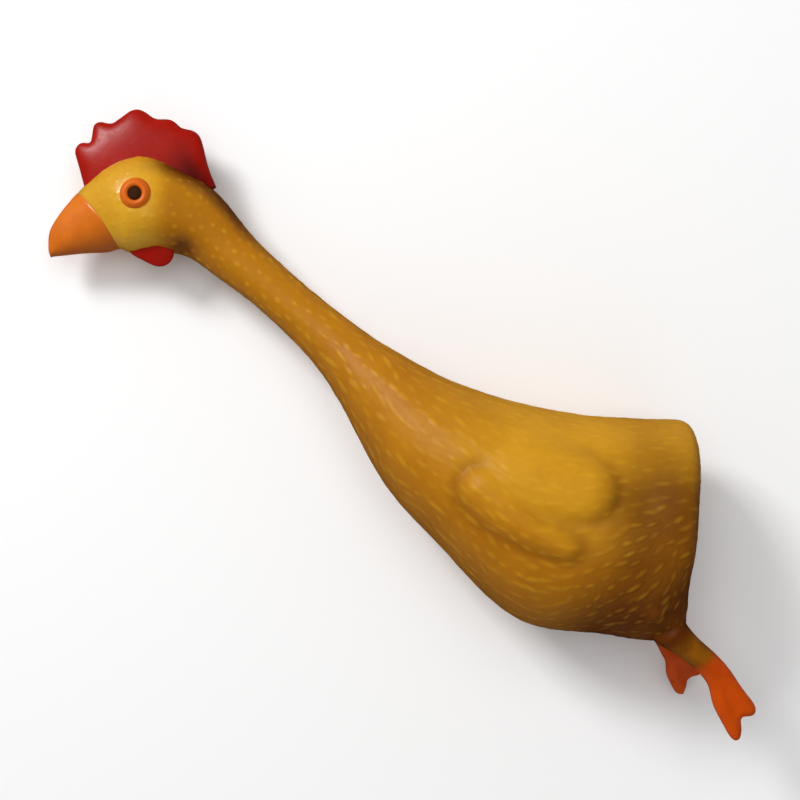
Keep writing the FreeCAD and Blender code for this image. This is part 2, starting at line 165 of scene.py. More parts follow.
# Place along the leg, half its thickness there, and how far its rim is rounded.
LEG_ROUND = np.array([
    (-47.0, 4.0, 11.0), (-40.0, 6.5, 11.0), (-34.0, 7.6, 10.0), (-27.0, 7.9, 8.4), (-15.0, 6.4, 6.4),
    (-6.0, 6.0, 6.1), (0.0, 5.0, 6.0), (6.0, 4.0, 5.2), (14.0, 3.3, 4.4), (24.0, 2.9, 3.8), (40.0, 2.6, 3.4)])
LEG_STEP = 0.5
LEG_STATIONS = np.arange(-50.0, 48.0, LEG_STEP)
# Ridges down the toes: start, end and height.
TOE_RIDGES = [((8.0, -2.6), (37.0, -6.4), 1.0), ((9.0, 3.0), (30.0, 6.4), 0.6)]
FULL_SHANK = 34.4
TOES = {"left": (217.5, -39.3, 56.0), "right": (196.5, -40.2, 8.0)}
GIRTH = {"left": 1.0, "right": 0.8}

# Where the skin is divided, from the first and last hinge of the neck and round each leg.
NECK_ROOT_CUT = 15.0
NAPE_CUT = 12.5
THIGH_RADIUS = 17.0
THIGH_DEPTH = 12.0
# Places round each ring of the skin and of the bill, and how deep the bill starts in the face.
SKIN_AROUND = 336
BILL_AROUND = 160
BILL_ROOT = 1.1
LOWER_BILL = math.radians(52.0)
VINYL_IOR = 1.48

# Soft lights: name, offset from the bird and size in metres, watts, and whether it shows in gloss.
LAMPS = [("key_softbox", (-1.6, 0.25, 1.35), 0.6, 27.0, True),
         ("overhead_softbox", (-0.3, 0.4, 2.0), 1.6, 16.0, False),
         ("fill_softbox", (1.2, -1.3, 1.0), 1.6, 3.5, False)]
# The camera looks straight down, turned about the vertical; lens in millimetres, the rest in metres.
CAMERA_LENS = 76.9
CAMERA_SHIFT = (-0.01185, -0.01027)
CAMERA_HEIGHT = 0.9
CAMERA_TURN = math.radians(36.0)

SIDES = ("left", "right")
UP = np.array([0.0, 0.0, 1.0])


def colour(red, green, blue):
    """A paint colour from its three display values out of 255."""
    def linear(value):
        value /= 255.0
        return value / 12.92 if value <= 0.04045 else ((value + 0.055) / 1.055) ** 2.4
    return (linear(red), linear(green), linear(blue), 1.0)


def paint(name, description, red, green, blue):
    """A colour property with its default."""
    return bpy.props.FloatVectorProperty(
        name=name, description=description, subtype="COLOR", size=4, min=0.0, max=1.0,
        default=colour(red, green, blue))


def length(name, description, millimetres):
    """A length property in metres with its default in millimetres."""
    return bpy.props.FloatProperty(
        name=name, description=description, default=millimetres * MM, min=0.0, soft_max=0.1,
        precision=5, unit="LENGTH")


def share(name, description, default):
    """A property between nothing and all."""
    return bpy.props.FloatProperty(
        name=name, description=description, default=default, min=0.0, max=1.0, subtype="FACTOR")


class ChickenPaints(bpy.types.PropertyGroup):
    """Colours of the moulding, of the paint on it, and of the painted shade and painted light on it."""

    skin: paint("Skin", "Yellow-orange vinyl of the moulding", 180, 116, 8)
    # Face: the face's own brighter yellow; the paler share of it over the back and the wing is painted light,
    # where the light falls.
    face: paint("Face", "Brighter yellow of the face, the back and the wing", 214, 158, 28)
    pimple: paint("Pimples", "Paler tips of the plucked pimples", 206, 154, 28)
    # Shade: painted shade, which on the belly and rump is partly the toy's airbrushed brown.
    shade: paint("Shade", "Brown sprayed on the belly, the rump and the folds", 92, 42, 0)
    comb: paint("Comb", "Red of the comb and the wattles", 160, 18, 3)
    bill: paint("Bill", "Orange of the bill", 216, 112, 10)
    foot: paint("Feet", "Red-orange of the feet", 200, 74, 1)
    eye: paint("Eye ring", "Orange of the ring round the eye", 212, 100, 10)
    pupil: paint("Pupil", "Dark brown of the pupil", 56, 30, 12)
    squeaker: paint("Squeaker", "Plastic of the squeaker", 222, 218, 206)
    floor: paint("Floor", "Pale studio floor", 250, 250, 250)


class ChickenSizes(bpy.types.PropertyGroup):
    """Sizes of the relief and of the small pieces."""

    wing: length("Wing", "How far the folded wing stands out of the flank", 2.7)
    crease: length("Wing crease", "Depth of the crease round the wing", 0.8)
    pimple: length("Pimple height", "How far a pimple stands out", 0.26)
    pimple_gap: length("Pimple gap", "Distance between pimples on the body", 7.6)
    thigh: length("Thigh", "How far the thigh is drawn out along the leg", 12.0)
    comb: length("Comb", "Half the breadth of the comb at its root", 8.0)
    wattle: length("Wattle", "Half the breadth of a wattle", 3.9)
    eye_ring: length("Eye ring", "Radius of the ring round the eye", 7.6)
    pupil: length("Pupil", "Radius of the pupil", 3.45)
    bill_step: length("Bill step", "How far the bill stands out of the face", 0.15)


class ChickenFinish(bpy.types.PropertyGroup):
    """How strongly the paint, the painted shade and the wear show."""

    # How dark the painted shade is.
    shading: share("Sprayed shade", "Strength of the brown on belly, rump and folds", 0.9)
    mottle: share("Mottle", "Unevenness of the vinyl's colour", 0.35)
    pale: share("Pale pimples", "How much paler the pimples are", 0.46)
    grain: share("Grain", "Depth of the vinyl's fine grain", 0.3)


def smoothstep(low, high, value):
    """0 below low, 1 above high, and a smooth rise between."""
    share_of = np.clip((value - low) / (high - low), 0.0, 1.0)
    return share_of * share_of * (3.0 - 2.0 * share_of)


def spline(knots, values, at):
    """A natural cubic spline through the values at the knots, read at any places."""
    count = len(knots)
    gaps = np.diff(knots)
    system = np.eye(count)
    right = np.zeros_like(values)
    for i in range(1, count - 1):
        system[i, i - 1:i + 2] = gaps[i - 1], 2.0 * (gaps[i - 1] + gaps[i]), gaps[i]
        right[i] = 6.0 * ((values[i + 1] - values[i]) / gaps[i] - (values[i] - values[i - 1]) / gaps[i - 1])
    bend = np.linalg.solve(system, right)
    k = np.clip(np.searchsorted(knots, at, side="right") - 1, 0, count - 2)
    gap = gaps[k][..., None]
    a = (knots[k + 1] - at)[..., None] / gap
    b = 1.0 - a
    cubic = ((a ** 3 - a) * bend[k] + (b ** 3 - b) * bend[k + 1]) * gap ** 2 / 6.0
    return a * values[k] + b * values[k + 1] + cubic


def smooth_line(points, step):
    """Evenly spaced places on a smooth curve through the points."""
    points = np.array(points, float)
    knots = np.concatenate([[0.0], np.cumsum(np.linalg.norm(np.diff(points, axis=0), axis=1))])
    return spline(knots, points, np.linspace(0.0, knots[-1], max(2, int(knots[-1] / step))))


def unit(ways):
    """Directions scaled to a length of one."""
    return ways / np.linalg.norm(ways, axis=-1, keepdims=True)


def round_angles(around):
    """Evenly spaced angles round a ring."""
    return np.arange(around) * 2.0 * math.pi / around


def distance_to_line(places, line):
    """Distance from each place to a line of short runs."""
    start, run = line[:-1], np.diff(line, axis=0)
    best = np.full(len(places), np.inf)
    for part in np.array_split(np.arange(len(start)), max(1, len(start) // 64)):
        offset = places[:, None, :] - start[None, part]
        along = np.clip((offset * run[part]).sum(2) / (run[part] ** 2).sum(1), 0.0, 1.0)
        gap = np.linalg.norm(offset - along[..., None] * run[part], axis=2).min(1)
        best = np.minimum(best, gap)
    return best


class Trunk:
    """The bird's smooth form from its vent to the tip of its bill, as a function of the place
    along the bird and the angle round it; angle 0 is the back and a quarter turn the left flank."""

    def __init__(self, sizes):
        self.sizes = sizes
        turn = np.radians(SECTIONS[:, 5])
        across = np.stack([-np.sin(turn), np.cos(turn)], 1)
        middle, depth = SECTIONS[:, :2], SECTIONS[:, 3:4]
        self.lines = np.concatenate(
            [middle + depth * across, middle - depth * across, SECTIONS[:, 2:3], SECTIONS[:, 4:5]], 1)
        steps = [np.linalg.norm(np.diff(self.lines[:, a:b], axis=0), axis=1) for a, b in ((0, 2), (2, 4))]
        self.knots = np.concatenate([[0.0], np.cumsum((steps[0] + steps[1]) / 2.0)])
        self.end = self.knots[-1]

    def curves(self, at):
        """Back edge, belly edge, middle height and half breadth at places along the bird."""
        read = spline(self.knots, self.lines, at)
        return read[..., 0:2], read[..., 2:4], read[..., 4], read[..., 5]

    def middle(self, at):
        """The middle of the section at places along the bird."""
        back, belly, height, _ = self.curves(np.asarray(at, float))
        return np.concatenate([(back + belly) / 2.0, height[..., None]], -1)

    def base(self, at, angle):
        """The plain oval form; the body is a little narrower towards its back."""
        back, belly, height, breadth = self.curves(at)
        cosine, sine = np.cos(angle), np.sin(angle)
        egg = 0.07 * smoothstep(230.0, 90.0, at)
        flat = (back + belly) / 2.0 + (back - belly) / 2.0 * cosine[..., None]
        z = height + breadth * sine * (1.0 - egg * cosine)
        return np.concatenate([flat, z[..., None]], -1)

    def base_normal(self, at, angle):
        """The plain form's outward direction."""
        along = self.base(at + 0.2, angle) - self.base(at - 0.2, angle)
        around = self.base(at, angle + 0.01) - self.base(at, angle - 0.01)
        return unit(np.cross(along, around))

    def surface(self, at, angle, offset=0.0):
        """The whole moulded surface: the plain form with wings, cheeks, thighs and the flat on
        which it rests, moved outward by offset."""
        place = self.base(at, angle)
        normal = self.base_normal(at, angle)
        rise = relief(place, np.sin(angle), self.sizes) + offset
        place = place + normal * rise[..., None]
        place = draw_out_thighs(place, normal, self.sizes)
        place[..., 2] = rest_on_table(place[..., 2])
        return place


def rest_on_table(z):
    """The height after the soft wall has flattened against the table."""
    soft = 1.6
    return np.where(z < 14.0, 0.5 * (z + np.sqrt(z * z + soft * soft)) - 0.42 * smoothstep(14.0, 0.0, z), z)


def swelling(flat, row):
    """Signed distance to the edge of a row of circles, negative inside."""
    row = np.array(row)
    chain = spline(np.arange(len(row), dtype=float), row, np.linspace(0, len(row) - 1, 40))
    gap = np.full(flat.shape[:-1], np.inf)
    for x, y, radius in chain:
        gap = np.minimum(gap, np.hypot(flat[..., 0] - x, flat[..., 1] - y) - radius)
    return gap


def whole_wing(upper, lower):
    """Signed distance to the edge of both swellings run softly together."""
    soft = 2.4
    return -soft * np.log(np.exp(-upper / soft) + np.exp(-lower / soft))


def wing_crease(flat, upper, lower):
    """How deep the crease is round the wing: below it, round its tip and behind its elbow, with
    a fold that runs forward from between them."""
    x, y = flat[..., 0], flat[..., 1]
    whole = whole_wing(upper, lower)
    below = smoothstep(-7.0, -17.0, y + 0.1 * (x - 60.0))
    behind = smoothstep(66.0, 88.0, x) * smoothstep(34.0, 18.0, y)
    outside = np.exp(-((whole - 2.6) / 3.4) ** 2) * np.maximum(below, behind)
    near = (x > 40.0) & (x < 115.0) & (y > -40.0) & (y < 10.0)
    gap = np.full(x.shape, 60.0)
    gap[near] = distance_to_line(flat[near], smooth_line(WING_FOLD, 1.0))
    fold = np.exp(-(gap / 2.4) ** 2) * smoothstep(60.0, 82.0, x)
    return np.maximum(outside, 0.9 * fold)


def relief(place, side, sizes):
    """Height of the wing, hollows, cheeks and thigh folds above the plain form."""
    flat, x, y = place[..., :2], place[..., 0], place[..., 1]
    height = np.zeros(x.shape)
    wing, crease = sizes["wing"], sizes["crease"]
    if ((x > 0.0) & (x < 125.0)).any():
        upper, lower = swelling(flat, UPPER_WING), swelling(flat, LOWER_WING)
        whole = whole_wing(upper, lower)
        front = smoothstep(30.0, 64.0, x + np.maximum(0.0, -8.0 - y) * 2.4)
        height += wing * smoothstep(4.0, -9.0, whole) * front
        height += 0.25 * wing * smoothstep(1.5, -8.0, lower)
        height -= crease * wing_crease(flat, upper, lower)
    for bump_x, bump_y, radius, rise in SWELLINGS + THIGH_LUMPS:
        height += rise * np.exp(-((x - bump_x) ** 2 + (y - bump_y) ** 2) / radius ** 2)
    return height * smoothstep(0.12, 0.62, np.abs(side))


def joint_place(name):
    """A joint's place in millimetres."""
    return np.array(JOINTS[name]["pos_m"]) / MM


def round_the_leg(place, side):
    """A leg's direction, and of each place the depth along it from the hip, and the offset and
    distance from its middle line."""
    hip, ankle = joint_place(side + "_hip"), joint_place(side + "_ankle")
    along = (ankle - hip) / np.linalg.norm(ankle - hip)
    offset = place - hip
    depth = offset @ along
    outward = offset - depth[..., None] * along
    return along, depth, outward, np.linalg.norm(outward, axis=-1)


def draw_out_thighs(place, normal, sizes):
    """Draw the skin out along each leg, so that the leg grows out of the body."""
    for side in SIDES:
        along, depth, outward, radius = round_the_leg(place, side)
        facing = smoothstep(-0.2, 0.5, normal @ along) * smoothstep(-16.0, -4.0, depth)
        pull = sizes["thigh"] * np.exp(-(radius / 12.5) ** 2) * facing
        squeeze = 0.24 * smoothstep(0.15, 0.75, pull / sizes["thigh"])
        place = place + along * pull[..., None] - outward * squeeze[..., None]
    return place


def bill_side(place):
    """How far a place on the face lies beyond the edge of the bill's paint."""
    along = np.array(BILL_EDGE["along"])
    beyond = np.array([along[1], -along[0]])
    offset = place[..., :2] - np.array(BILL_EDGE["place"])
    run = np.clip((offset @ along) / BILL_EDGE["half"], -1.2, 1.2)
    return offset @ beyond + BILL_EDGE["bow"] * (1.0 - run ** 2)


def grid_normals(points):
    """Outward directions on a grid of rings that closes round."""
    along = np.gradient(points, axis=0)
    around = np.roll(points, -1, 1) - np.roll(points, 1, 1)
    normal = np.cross(along, around)
    return normal / np.maximum(np.linalg.norm(normal, axis=-1, keepdims=True), 1e-9)


def grid_faces(rings, around):
    """Four-sided faces of a closed grid, each with its ring."""
    ring, column = np.meshgrid(np.arange(rings - 1), np.arange(around), indexing="ij")
    after = (column + 1) % around
    corners = [ring * around + column, (ring + 1) * around + column,
               (ring + 1) * around + after, ring * around + after]
    return np.stack(corners, -1).reshape(-1, 4), ring.ravel()


def places_of(piece):
    """The places of a piece's corners in millimetres."""
    points = np.zeros(len(piece.data.vertices) * 3)
    piece.data.vertices.foreach_get("co", points)
    return points.reshape(-1, 3) / MM


def keep_mark(piece, name, values):
    """Keep a value for each of a piece's corners under a name."""
    layer = piece.data.attributes.new(name, "FLOAT", "POINT")
    layer.data.foreach_set("value", np.asarray(values, np.float32))


def new_piece(name, points, faces, marks=None, normals=None):
    """A mesh object from places in millimetres, keeping each place for the patterns on it."""
    mesh = bpy.data.meshes.new(name)
    places = np.asarray(points, float) * MM
    mesh.from_pydata(places.tolist(), [], [list(map(int, face)) for face in faces])
    mesh.polygons.foreach_set("use_smooth", np.ones(len(mesh.polygons), bool))
    kept = mesh.attributes.new("moulded_place", "FLOAT_VECTOR", "POINT")
    kept.data.foreach_set("vector", places.astype(np.float32).ravel())
    mesh.update()
    if normals is not None:
        mesh.normals_split_custom_set_from_vertices(np.asarray(normals, float).tolist())
    piece = bpy.data.objects.new(name, mesh)
    for mark_name, values in (marks or {}).items():
        keep_mark(piece, mark_name, values)
    bpy.context.scene.collection.objects.link(piece)
    return piece


def piece_from_grid(name, grid, faces):
    """The part of the big skin grid that the chosen faces cover."""
    used, index = np.unique(faces, return_inverse=True)
    marks = {mark_name: values[used] for mark_name, values in grid["marks"].items()}
    return new_piece(name, grid["points"][used], index.reshape(faces.shape), marks, grid["normals"][used])


def plucked_pimples(points, normals, at, sizes):
    """Scatter the raised pimples of plucked skin; gives each grid place its distance inside the
    nearest pimple's edge in millimetres, and that pimple's strength."""
    rings, around = points.shape[:2]
    random = np.random.default_rng(11)
    flat = points.reshape(-1, 3)
    ring_gap = np.linalg.norm(np.gradient(points, axis=0), axis=-1)
    column_gap = np.linalg.norm(np.roll(points, -1, 1) - points, axis=-1)
    area = (ring_gap * column_gap).ravel()
    choice = random.choice(len(flat), 26000, p=area / area.sum())
    kept = []
    body_gap = sizes["pimple_gap"]
    gap = np.interp(at.ravel()[choice], [0.0, 170.0, 260.0, 390.0, 420.0, 470.0],
                    [0.8 * body_gap, body_gap, 0.78 * body_gap, 0.72 * body_gap, body_gap, 1.3 * body_gap])
    store = np.zeros((len(choice), 3))
    for index, spacing in zip(choice, gap):
        count = len(kept)
        if count and np.linalg.norm(store[:count] - flat[index], axis=1).min() < spacing * 0.8:
            continue
        store[count] = flat[index]
        kept.append(index)
    inside = np.full((rings, around), -3.0)
    strength = np.zeros((rings, around))
    back_run = np.gradient(points, axis=0)
    for index in kept:
        row, column = divmod(int(index), around)
        place, normal = points[row, column], normals[row, column]
        flow = back_run[row, column] / np.linalg.norm(back_run[row, column])
        body = float(smoothstep(300.0, 200.0, at[row, column]))
        rump = float(smoothstep(95.0, 40.0, at[row, column]))
        slant = smoothstep(80.0, 130.0, place[0]) * smoothstep(30.0, -10.0, place[1])
        wander = random.normal(0.0, 0.16) + 0.8 * float(slant)
        cross = np.cross(normal, flow)
        cosine, sine = math.cos(wander), math.sin(wander)
        flow, cross = flow * cosine + cross * sine, cross * cosine - flow * sine
        half_breadth = random.uniform(0.8, 1.5) * (1.0 - 0.15 * rump)
        half_length = half_breadth * random.uniform(1.1, 1.5) * (1.0 + body * random.uniform(0.6, 2.2))
        power = random.uniform(0.25, 1.0)
        reach_rows = int((half_length + 2.5) / max(ring_gap[row, column], 0.15)) + 1
        reach_columns = int((half_length + 2.5) / max(column_gap[row, column], 0.15)) + 1
        reach_columns = min(reach_columns, around // 2 - 1)
        rows = np.arange(max(0, row - reach_rows), min(rings, row + reach_rows + 1))
        columns = np.arange(column - reach_columns, column + reach_columns + 1) % around
        patch = np.ix_(rows, columns)
        offset = points[patch] - place
        reach = np.sqrt((offset @ flow / half_length) ** 2 + (offset @ cross / half_breadth) ** 2
                        + (offset @ normal / 3.0) ** 2)
        depth = (1.0 - reach) * half_breadth
        nearer = depth > inside[patch]
        inside[patch] = np.where(nearer, depth, inside[patch])
        strength[patch] = np.where(nearer, power, strength[patch])
    return inside, strength


def painted_shade_and_airbrush(points, at, angle):
    """Where brown painted shade darkens the skin: under the belly and on the rump, on the sides turned from
    the light, where it is partly the toy's airbrushed brown; in the wing's creases and the hollow behind the
    elbow; under the neck and behind the cheek; and on the nape, as the comb's painted shadow."""
    x, y = points[..., 0], points[..., 1]
    backward = np.cos(angle)
    belly = smoothstep(-0.1, -1.0, backward) * smoothstep(395.0, 300.0, at)
    belly = np.maximum(belly, smoothstep(-0.45, -0.95, backward) * smoothstep(-168.0, -146.0, x))
    rump = smoothstep(84.0, 130.0, x + 0.25 * y) * smoothstep(68.0, 32.0, y)
    upper, lower = swelling(points[..., :2], UPPER_WING), swelling(points[..., :2], LOWER_WING)
    folds = wing_crease(points[..., :2], upper, lower)
    hollow = np.exp(-((x - 111.0) ** 2 + (y - 15.0) ** 2) / 16.0 ** 2)
    jaw = np.exp(-((x + 145.5) ** 2 / 36.0 + (y + 13.5) ** 2 / 40.0))
    # The nape darkens under the comb's rear half: the comb's painted shadow.
    nape = smoothstep(0.5, 0.95, backward) * smoothstep(-192.0, -176.0, x) * smoothstep(-96.0, -140.0, x)
    side = smoothstep(0.0, 0.4, np.abs(np.sin(angle)))
    shade = 0.3 * belly + 0.76 * rump + side * (0.3 * folds + 0.3 * hollow + jaw) + nape
    return np.clip(shade, 0.0, 1.0)


def rows_along(face_end):
    """Places of the skin's rings along the bird, closer together at the neck and the face."""
    samples, first_pitch = 64, 0.75
    even = np.linspace(0.0, face_end, samples)
    pitch = spline(np.array([0.0, 120.0, 260.0, face_end]),
                   np.array([[first_pitch], [0.85], [0.62], [0.55]]), even)[:, 0]
    travelled = np.concatenate([[0.0], np.cumsum(1.0 / pitch)[:-1]])
    count = int(travelled[-1] / travelled[1] * face_end / (samples - 1) / first_pitch)
    return np.interp(np.linspace(0.0, travelled[-1], count), travelled, even)


def vent_cap(columns, vent, centre):
    """Rings of the rump's end, from inside the vent's hole over its lip to the first skin ring."""
    turn = math.radians(SECTIONS[0, 5])
    tailward = np.array([math.cos(turn), math.sin(turn), 0.0])
    across = np.array([-math.sin(turn), math.cos(turn), 0.0])
    hole = centre + VENT_HOLE * (np.cos(columns)[:, None] * across + np.sin(columns)[:, None] * UP)
    cap = [hole + tailward * depth for depth in (-SKIN_WALL, -1.6, -0.9, -0.35)]
    for share_of in np.linspace(0.0, 1.0, 30)[:-1] ** 0.85:
        place = hole + (vent - hole) * share_of
        radius = np.linalg.norm(place - centre, axis=1)
        lip = 0.9 * np.exp(-((radius - VENT_HOLE - 1.6) / 1.3) ** 2)
        dome = 0.9 * smoothstep(0.0, 0.6, share_of) * (1.0 - share_of ** 2)
        cap.append(place + tailward * (lip + dome)[:, None])
    return np.array(cap)


def skin_grid(sizes):
    """The whole skin from the vent's hole to under the bill, as one grid of rings."""
    trunk = Trunk(sizes)
    columns = round_angles(SKIN_AROUND)
    along = rows_along(trunk.knots[20] + 6.0)
    at, angle = np.meshgrid(along, columns, indexing="ij")
    tuck = -0.9 * smoothstep(0.0, 1.6, bill_side(trunk.base(at, angle)))
    skin = trunk.surface(at, angle, tuck)
    centre = np.append(SECTIONS[0, :2], SECTIONS[0, 2])
    cap = vent_cap(columns, skin[0], centre)
    points = np.concatenate([cap, skin])
    at = np.concatenate([np.zeros((len(cap), SKIN_AROUND)), at])
    angle = np.concatenate([np.tile(columns, (len(cap), 1)), angle])
    normals = grid_normals(points)
    inside, strength = plucked_pimples(points, normals, at, sizes)
    x, y = points[..., 0], points[..., 1]
    # The face's own brighter yellow, and a paler share of it on the back and wing where the light falls:
    # painted light.
    light = smoothstep(-160.0, -177.0, x + 0.6 * y)
    light += (0.6 * smoothstep(-36.0, -6.0, y) * smoothstep(-20.0, 60.0, x)
              * smoothstep(135.0, 95.0, x - 0.4 * y))
    strength *= 1.0 - 0.92 * smoothstep(390.0, 425.0, at)
    from_vent = np.linalg.norm(points - centre, axis=-1) - VENT_HOLE
    strength *= smoothstep(1.0, -1.0, bill_side(points)) * smoothstep(2.0, 6.0, from_vent)
    rump = smoothstep(100.0, 130.0, x) * smoothstep(30.0, 0.0, y)
    raised = smoothstep(-0.7, 1.0, inside) * strength
    sunk = np.exp(-((inside + 0.6) / 0.45) ** 2) * strength * rump
    height = sizes["pimple"] * (raised - 0.5 * sunk)
    points = points + normals * height[..., None]
    points[..., 2] = np.maximum(points[..., 2], 0.0)
    faces, ring = grid_faces(len(points), SKIN_AROUND)
    return {
        "trunk": trunk, "points": points.reshape(-1, 3), "normals": grid_normals(points).reshape(-1, 3),
        "faces": faces, "ring": ring, "first": len(cap), "along": along,
        "marks": {"pimple": inside.ravel(), "pimple_power": strength.ravel(), "face_yellow_and_painted_light": light.ravel(),
                  "shade": painted_shade_and_airbrush(points, at, angle).ravel(), "dimple": (rump * strength).ravel()},
    }


def sizes_in_millimetres(context):
    """The size properties as plain numbers in millimetres."""
    group = context.scene.chicken_sizes
    return {name: getattr(group, name) / MM for name in ChickenSizes.__annotations__}


def ring_at(grid, place):
    """The ring whose middle is nearest to a place."""
    middles = grid["trunk"].middle(grid["along"])
    return grid["first"] + int(np.linalg.norm(middles - place, axis=1).argmin())


# ---------------------------------------------------------------- materials


def start_group(name, inputs, outputs):
    """An empty node group with its inputs, each with its default, least and most, its outputs, and
    its entry and exit nodes."""
    group = bpy.data.node_groups.new(name, "ShaderNodeTree")
    for label, kind, *values in inputs:
        socket = group.interface.new_socket(name=label, in_out="INPUT", socket_type="NodeSocket" + kind)
        if values:
            socket.default_value = values[0]
        if len(values) > 1:
            socket.min_value, socket.max_value = values[1:]
    for label, kind in outputs:
        group.interface.new_socket(name=label, in_out="OUTPUT", socket_type="NodeSocket" + kind)
    entry = add(group, "NodeGroupInput", (-900, 0)).outputs
    return group, entry, add(group, "NodeGroupOutput", (500, 0)).inputs


def add(tree, kind, place, **settings):
    """A node at a place in the tree, with its properties set."""
    node = tree.nodes.new(kind)
    node.location = place
    for name, value in settings.items():
        setattr(node, name, value)
    return node


def moulded_place(tree, place):
    """The place that each spot has on the moulding at rest, so that patterns bend with it."""
    return add(tree, "ShaderNodeAttribute", place, attribute_name="moulded_place").outputs["Vector"]


def mark(tree, name, place):
    """A value kept on the surface under a name."""
    return add(tree, "ShaderNodeAttribute", place, attribute_name=name).outputs["Fac"]


def feed(tree, *pairs):
    """Give inputs their values, each a number, a colour or another node's socket."""
    for socket, value in pairs:
        if isinstance(value, bpy.types.NodeSocket):
            tree.links.new(value, socket)
        else:
            socket.default_value = value


def calculate(tree, operation, place, *values):
    """A Math node whose inputs are numbers or sockets."""
    node = add(tree, "ShaderNodeMath", place, operation=operation)
    feed(tree, *zip(node.inputs, values))
    return node.outputs[0]


def ramp(tree, place, value, low, high):
    """A smooth rise from 0 to 1 as the value goes from low to high."""
    node = add(tree, "ShaderNodeMapRange", place, interpolation_type="SMOOTHSTEP")
    feed(tree, *zip(node.inputs, (value, low, high)))
    return node.outputs["Result"]


def noise(tree, place, where, scale, detail, roughness=0.5):
    """How high a soft random noise is at each place."""
    node = add(tree, "ShaderNodeTexNoise", place)
    feed(tree, (node.inputs["Vector"], where), (node.inputs["Scale"], scale),
         (node.inputs["Detail"], detail), (node.inputs["Roughness"], roughness))
    return node.outputs["Fac"]


def blend_colours(tree, place, factor, first, second):
    """A colour mix whose inputs are colours or sockets."""
    node = add(tree, "ShaderNodeMix", place, data_type="RGBA", blend_type="MIX")
    feed(tree, (node.inputs[0], factor), (node.inputs[6], first), (node.inputs[7], second))
    return node.outputs[2]


def uneven_vinyl_group():
    """Group: cloudy unevenness of cast vinyl and sprayed paint, as a colour and a roughness."""
    name = "uneven_vinyl"
    if name in bpy.data.node_groups:
        return bpy.data.node_groups[name]
    group, entry, leave = start_group(
        name,
        [("Place", "Vector"), ("Colour", "Color", (0.8, 0.4, 0.1, 1.0)),
         ("Deeper Colour", "Color", (0.5, 0.2, 0.05, 1.0)), ("Cloud Size", "Float", 60.0, 1.0, 2000.0),
         ("Amount", "Float", 0.4, 0.0, 1.0), ("Roughness", "Float", 0.4, 0.0, 1.0)],
        [("Colour", "Color"), ("Roughness", "Float")])
    finer = calculate(group, "MULTIPLY", (-800, -200), entry["Cloud Size"], 9.0)
    clouds = noise(group, (-650, 120), entry["Place"], entry["Cloud Size"], 3.0, 0.55)
    specks = noise(group, (-650, -140), entry["Place"], finer, 2.0)
    cloudy = ramp(group, (-420, 120), clouds, 0.36, 0.66)
    speckled = ramp(group, (-420, -140), specks, 0.42, 0.72)
    both = calculate(group, "MULTIPLY_ADD", (-200, 40), speckled, 0.3, cloudy)
    factor = calculate(group, "MULTIPLY", (-40, 40), both, entry["Amount"])
    tint = blend_colours(group, (140, 100), factor, entry["Colour"], entry["Deeper Colour"])
    rougher = calculate(group, "MULTIPLY_ADD", (140, -140), speckled, 0.09, entry["Roughness"])
    feed(group, (leave["Colour"], tint), (leave["Roughness"], rougher))
    return group


def vinyl_grain_group():
    """Group: the fine orange-peel grain of rotationally cast vinyl, as a height."""
    name = "vinyl_grain"
    if name in bpy.data.node_groups:
        return bpy.data.node_groups[name]
    group, entry, leave = start_group(
        name,
        [("Place", "Vector"), ("Grain Size", "Float", 900.0, 10.0, 8000.0),
         ("Waves", "Float", 0.5, 0.0, 2.0)],
        [("Height", "Float")])
    longer = calculate(group, "MULTIPLY", (-700, -200), entry["Grain Size"], 0.16)
    grain = noise(group, (-550, 120), entry["Place"], entry["Grain Size"], 2.5)
    waves = noise(group, (-550, -140), entry["Place"], longer, 1.0)
    swell = calculate(group, "MULTIPLY", (-300, -140), waves, entry["Waves"])
    total = calculate(group, "MULTIPLY_ADD", (-60, 0), grain, 0.25, swell)
    feed(group, (leave["Height"], total))
    return group


def place_group(tree, group, where, **values):
    """A group node with its own values, given by names with underscores for blanks."""
    node = add(tree, "ShaderNodeGroup", where, node_tree=group)
    feed(tree, *((node.inputs[name.replace("_", " ")], value) for name, value in values.items()))
    return node


def new_material(name):
    """A material with only its Principled shader and its output, and the shader."""
    material = bpy.data.materials.new(name)
    material.use_nodes = True
    shader = next(node for node in material.node_tree.nodes if node.type == "BSDF_PRINCIPLED")
    return material, material.node_tree, shader


def deeper(rgba, factor):
    """A darker and warmer version of a paint."""
    return (rgba[0] * factor, rgba[1] * factor * 0.85, rgba[2] * factor * 0.7, 1.0)


def set_shader(shader, **values):
    """Constants on the Principled shader's own sockets."""
    for name, value in values.items():
        shader.inputs[name.replace("_", " ")].default_value = value


def roughen(tree, shader, finish, height, place, distance):
    """Bump from a height, as deep as the grain's finish asks."""
    bump = add(tree, "ShaderNodeBump", place)
    feed(tree, (bump.inputs["Strength"], finish.grain), (bump.inputs["Distance"], distance),
         (bump.inputs["Height"], height), (shader.inputs["Normal"], bump.outputs["Normal"]))


